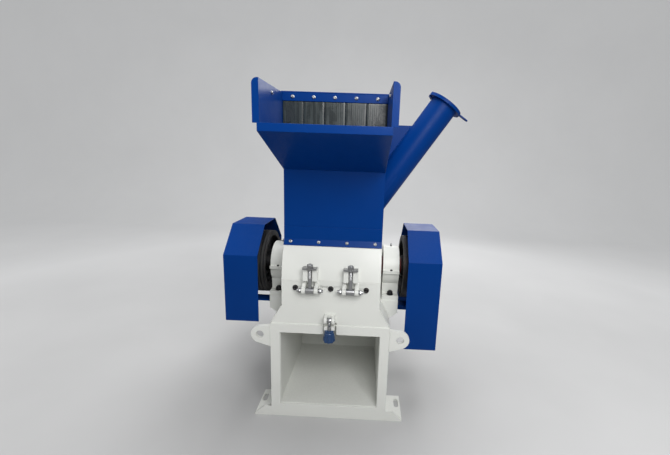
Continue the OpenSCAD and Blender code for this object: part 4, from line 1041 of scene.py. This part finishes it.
class GRANULATOR_OT_knob(bpy.types.Operator):
    """Make the fluted hand knob of the screen lock"""
    bl_idname = "granulator.knob"
    bl_label = "Lock knob"

    def execute(self, context):
        low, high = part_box("lock_knob")
        base = Vector(((low[0] + high[0]) / 2, (low[1] + high[1]) / 2, low[2] + KNOB_LIFT))
        tall = high[2] - low[2] - KNOB_LIFT

        def fluted(angle, height):
            share = max(0.0, 1.0 - abs(height / tall - FLUTE_MIDDLE) / FLUTE_HALF)
            groove = (0.5 - 0.5 * math.cos(FLUTES * angle)) ** FLUTE_SHARPNESS
            return 1.0 - FLUTE_DEPTH * min(1.0, FLUTE_FADE * share) * groove

        shape = bmesh.new()
        profile = [(radius * KNOB_RADIUS * MM, height * tall) for radius, height in KNOB_PROFILE]
        turned(shape, base, UPWARD, profile, KNOB_STEPS, fluted)
        knob = new_piece("hand_knob", shape, "knob_blue", "knob")
        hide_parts("lock_knob")
        shape = bmesh.new()
        turned(shape, base + Vector((0, 0, COLLAR_FOOT * tall)), UPWARD, in_mm(COLLAR), 48)
        new_piece("knob_collar", shape, "knob_blue", "knob")
        return {"FINISHED"}


# The strip curtain.

STRIP_COUNT = 5
STRIP_COLUMNS, STRIP_ROWS = 40, 36
STRIP_RIBS = 10
STRIP_TOP_ANGLES = (0.25, 0.7, 1.1)
STRIP_EDGE = 0.35
STRIP_EDGE_SLOPE = 8


def strip_rings(low, high, bow, turn, rib_height):
    """Rings of a strip from its rounded top down: smooth at the back, ribbed in front."""
    mid_y, thick = (low.y + high.y) / 2, high.y - low.y
    root = high.z - thick / 2
    levels = [(high.z - thick / 2 * (1 - math.cos(a)), 0.0, math.sin(a)) for a in STRIP_TOP_ANGLES]
    levels += [(root + (low.z - root) * row / STRIP_ROWS, row / STRIP_ROWS, 1.0)
               for row in range(STRIP_ROWS + 1)]
    rings = []
    for z, fall, plump in levels:
        front, back = [], []
        for column in range(STRIP_COLUMNS + 1):
            share = column / STRIP_COLUMNS
            x = low.x + (high.x - low.x) * share
            bend = bow * math.sin(math.pi * fall) + turn * fall * (share - 0.5)
            edge = plump * min(1.0, STRIP_EDGE_SLOPE * min(share, 1 - share) + STRIP_EDGE)
            rib = plump * rib_height * (0.5 * math.cos(2 * math.pi * share * STRIP_RIBS) - 0.5)
            front.append(Vector((x, mid_y - bend * 0.5 - thick / 2 * edge - rib * 0.5, z)))
            back.append(Vector((x, mid_y - bend * 0.5 + thick / 2 * edge, z)))
        rings.append(front + back[::-1])
    return rings


class GRANULATOR_OT_curtain(bpy.types.Operator):
    """Hang the ribbed PVC strips in the hopper's mouth"""
    bl_idname = "granulator.curtain"
    bl_label = "Strip curtain"

    def execute(self, context):
        sizes = context.scene.granulator_curtain
        luck = random.Random(SEED)
        for number in range(1, STRIP_COUNT + 1):
            low, high = (Vector(corner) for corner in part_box("curtain_strip_%d" % number))
            bow = luck.uniform(0.4, 1.0) * sizes.wave
            turn = luck.uniform(-0.5, 0.5) * sizes.wave
            shape = bmesh.new()
            skinned(shape, strip_rings(low, high, bow, turn, sizes.rib))
            strip = new_piece("pvc_strip_%d" % number, shape, "curtain_pvc", "curtain_%d" % number)
            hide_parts("curtain_strip_%d" % number)
        return {"FINISHED"}


# Small fittings, in millimetres.

NIPPLE_PLACES = ((-332.5, 0, 956.5), (332.5, 0, 956.5))
NIPPLE = ((3.2, 0.0), (3.2, 5.0), (2.2, 6.0), (2.2, 7.5), (3.4, 9.0), (3.2, 11.0), (1.6, 12.0))
TERMINAL_SCREW = ((4.5, 0.0), (4.5, 1.6), (3.4, 2.6), (1.2, 2.8))
SCREW_INSET, SCREW_FAR = 9, 95
FITTING_STEPS = 20
FILLER_CORNERS = ((266, 1268), (266, 1330), (342, 1394), (338, 1376))
FILLER_FACES = (-79, -74)
STRIP_TOP_CORNERS = ((250, 1110), (253.5, 1108.5), (253.5, 1039.5), (250, 1046.8))
STRIP_TOP_X = 264.5
PLATE_EDGE = 0.8 * MM


def nipples():
    """A grease nipple on the cap of each bearing housing."""
    shape = bmesh.new()
    for place in NIPPLE_PLACES:
        seat = at(*place)
        hexagon(shape, seat, UPWARD, 7.0 * MM, 6.0 * MM)
        turned(shape, seat + at(0, 0, 5.9), UPWARD, in_mm(NIPPLE), FITTING_STEPS)
    new_piece("grease_nipples", shape, "zinc_plate", "base")


def terminal_screws():
    """Four screws in the lid of the motor's terminal box."""
    low, high = (Vector(corner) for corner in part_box("terminal_box"))
    shape = bmesh.new()
    for x in (low.x + SCREW_INSET * MM, high.x - SCREW_INSET * MM):
        for y in (low.y + SCREW_INSET * MM, low.y + SCREW_FAR * MM):
            seat = Vector((x, y, high.z - 0.5 * MM))
            turned(shape, seat, UPWARD, in_mm(TERMINAL_SCREW), FITTING_STEPS)
    new_piece("terminal_screws", shape, "zinc_plate", "base")


def plates():
    """The side pipe's filler plate, and the flat tops of the hopper's bolted flange strips."""
    shape = bmesh.new()
    skinned(shape, [[at(x, y, z) for x, z in FILLER_CORNERS] for y in FILLER_FACES])
    filler = new_piece("pipe_filler_plate", shape, "blue_paint", "upper", smooth=False)
    broken_edges(filler, PLATE_EDGE)
    shape = bmesh.new()
    for face in (-1, 1):
        skinned(shape, [[at(x, face * y, z) for y, z in STRIP_TOP_CORNERS]
                        for x in (-STRIP_TOP_X, STRIP_TOP_X)])
    covers = new_piece("flange_strip_tops", shape, "blue_paint", "upper", smooth=False)
    broken_edges(covers, PLATE_EDGE)


class GRANULATOR_OT_fittings(bpy.types.Operator):
    """Add grease nipples, terminal screws, the pipe's filler plate and the flange strips' tops"""
    bl_idname = "granulator.fittings"
    bl_label = "Fittings"

    def execute(self, context):
        nipples()
        terminal_screws()
        plates()
        return {"FINISHED"}


# The add-on: its operators in the order they run in, its panel and its classes.

PIECES = (
    ("granulator.finish", "Paint and break edges"),
    ("granulator.base_welds", "Base welds"),
    ("granulator.hopper_welds", "Hopper welds"),
    ("granulator.fasteners", "Fasteners"),
    ("granulator.clamps", "Swing bolts"),
    ("granulator.knob", "Lock knob"),
    ("granulator.curtain", "Strip curtain"),
    ("granulator.fittings", "Fittings"),
)

STAGE = ("granulator.stage", "Stage")


class VIEW3D_PT_granulator(bpy.types.Panel):
    """Lists the granulator's settings and pieces"""
    bl_label = "Granulator"
    bl_space_type = "VIEW_3D"
    bl_region_type = "UI"
    bl_category = "Granulator"

    def draw(self, context):
        layout = self.layout
        scene = context.scene
        for settings in (scene.granulator_colours, scene.granulator_seams,
                         scene.granulator_curtain):
            box = layout.box()
            for key in settings.bl_rna.properties.keys():
                if key not in ("rna_type", "name"):
                    box.prop(settings, key)
        for idname, label in (STAGE,) + PIECES:
            layout.operator(idname, text=label)


CLASSES = (
    FinishColours,
    SeamSizes,
    CurtainSizes,
    GRANULATOR_OT_stage,
    GRANULATOR_OT_finish,
    GRANULATOR_OT_base_welds,
    GRANULATOR_OT_hopper_welds,
    GRANULATOR_OT_fasteners,
    GRANULATOR_OT_clamps,
    GRANULATOR_OT_knob,
    GRANULATOR_OT_curtain,
    GRANULATOR_OT_fittings,
    VIEW3D_PT_granulator,
)


def register():
    """Registers the classes and puts the settings on the scene."""
    for made in CLASSES:
        bpy.utils.register_class(made)
    bpy.types.Scene.granulator_colours = bpy.props.PointerProperty(type=FinishColours)
    bpy.types.Scene.granulator_seams = bpy.props.PointerProperty(type=SeamSizes)
    bpy.types.Scene.granulator_curtain = bpy.props.PointerProperty(type=CurtainSizes)


def unregister():
    """Takes the settings and the classes away again."""
    del bpy.types.Scene.granulator_curtain
    del bpy.types.Scene.granulator_seams
    del bpy.types.Scene.granulator_colours
    for made in reversed(CLASSES):
        bpy.utils.unregister_class(made)


def main():
    """Runs the stage and every piece."""
    register()
    bpy.context.scene.view_settings.view_transform = "Standard"
    for idname, _label in (STAGE,) + PIECES:
        group_name, operator = idname.split(".")
        getattr(getattr(bpy.ops, group_name), operator)()


if __name__ == "__main__":
    main()
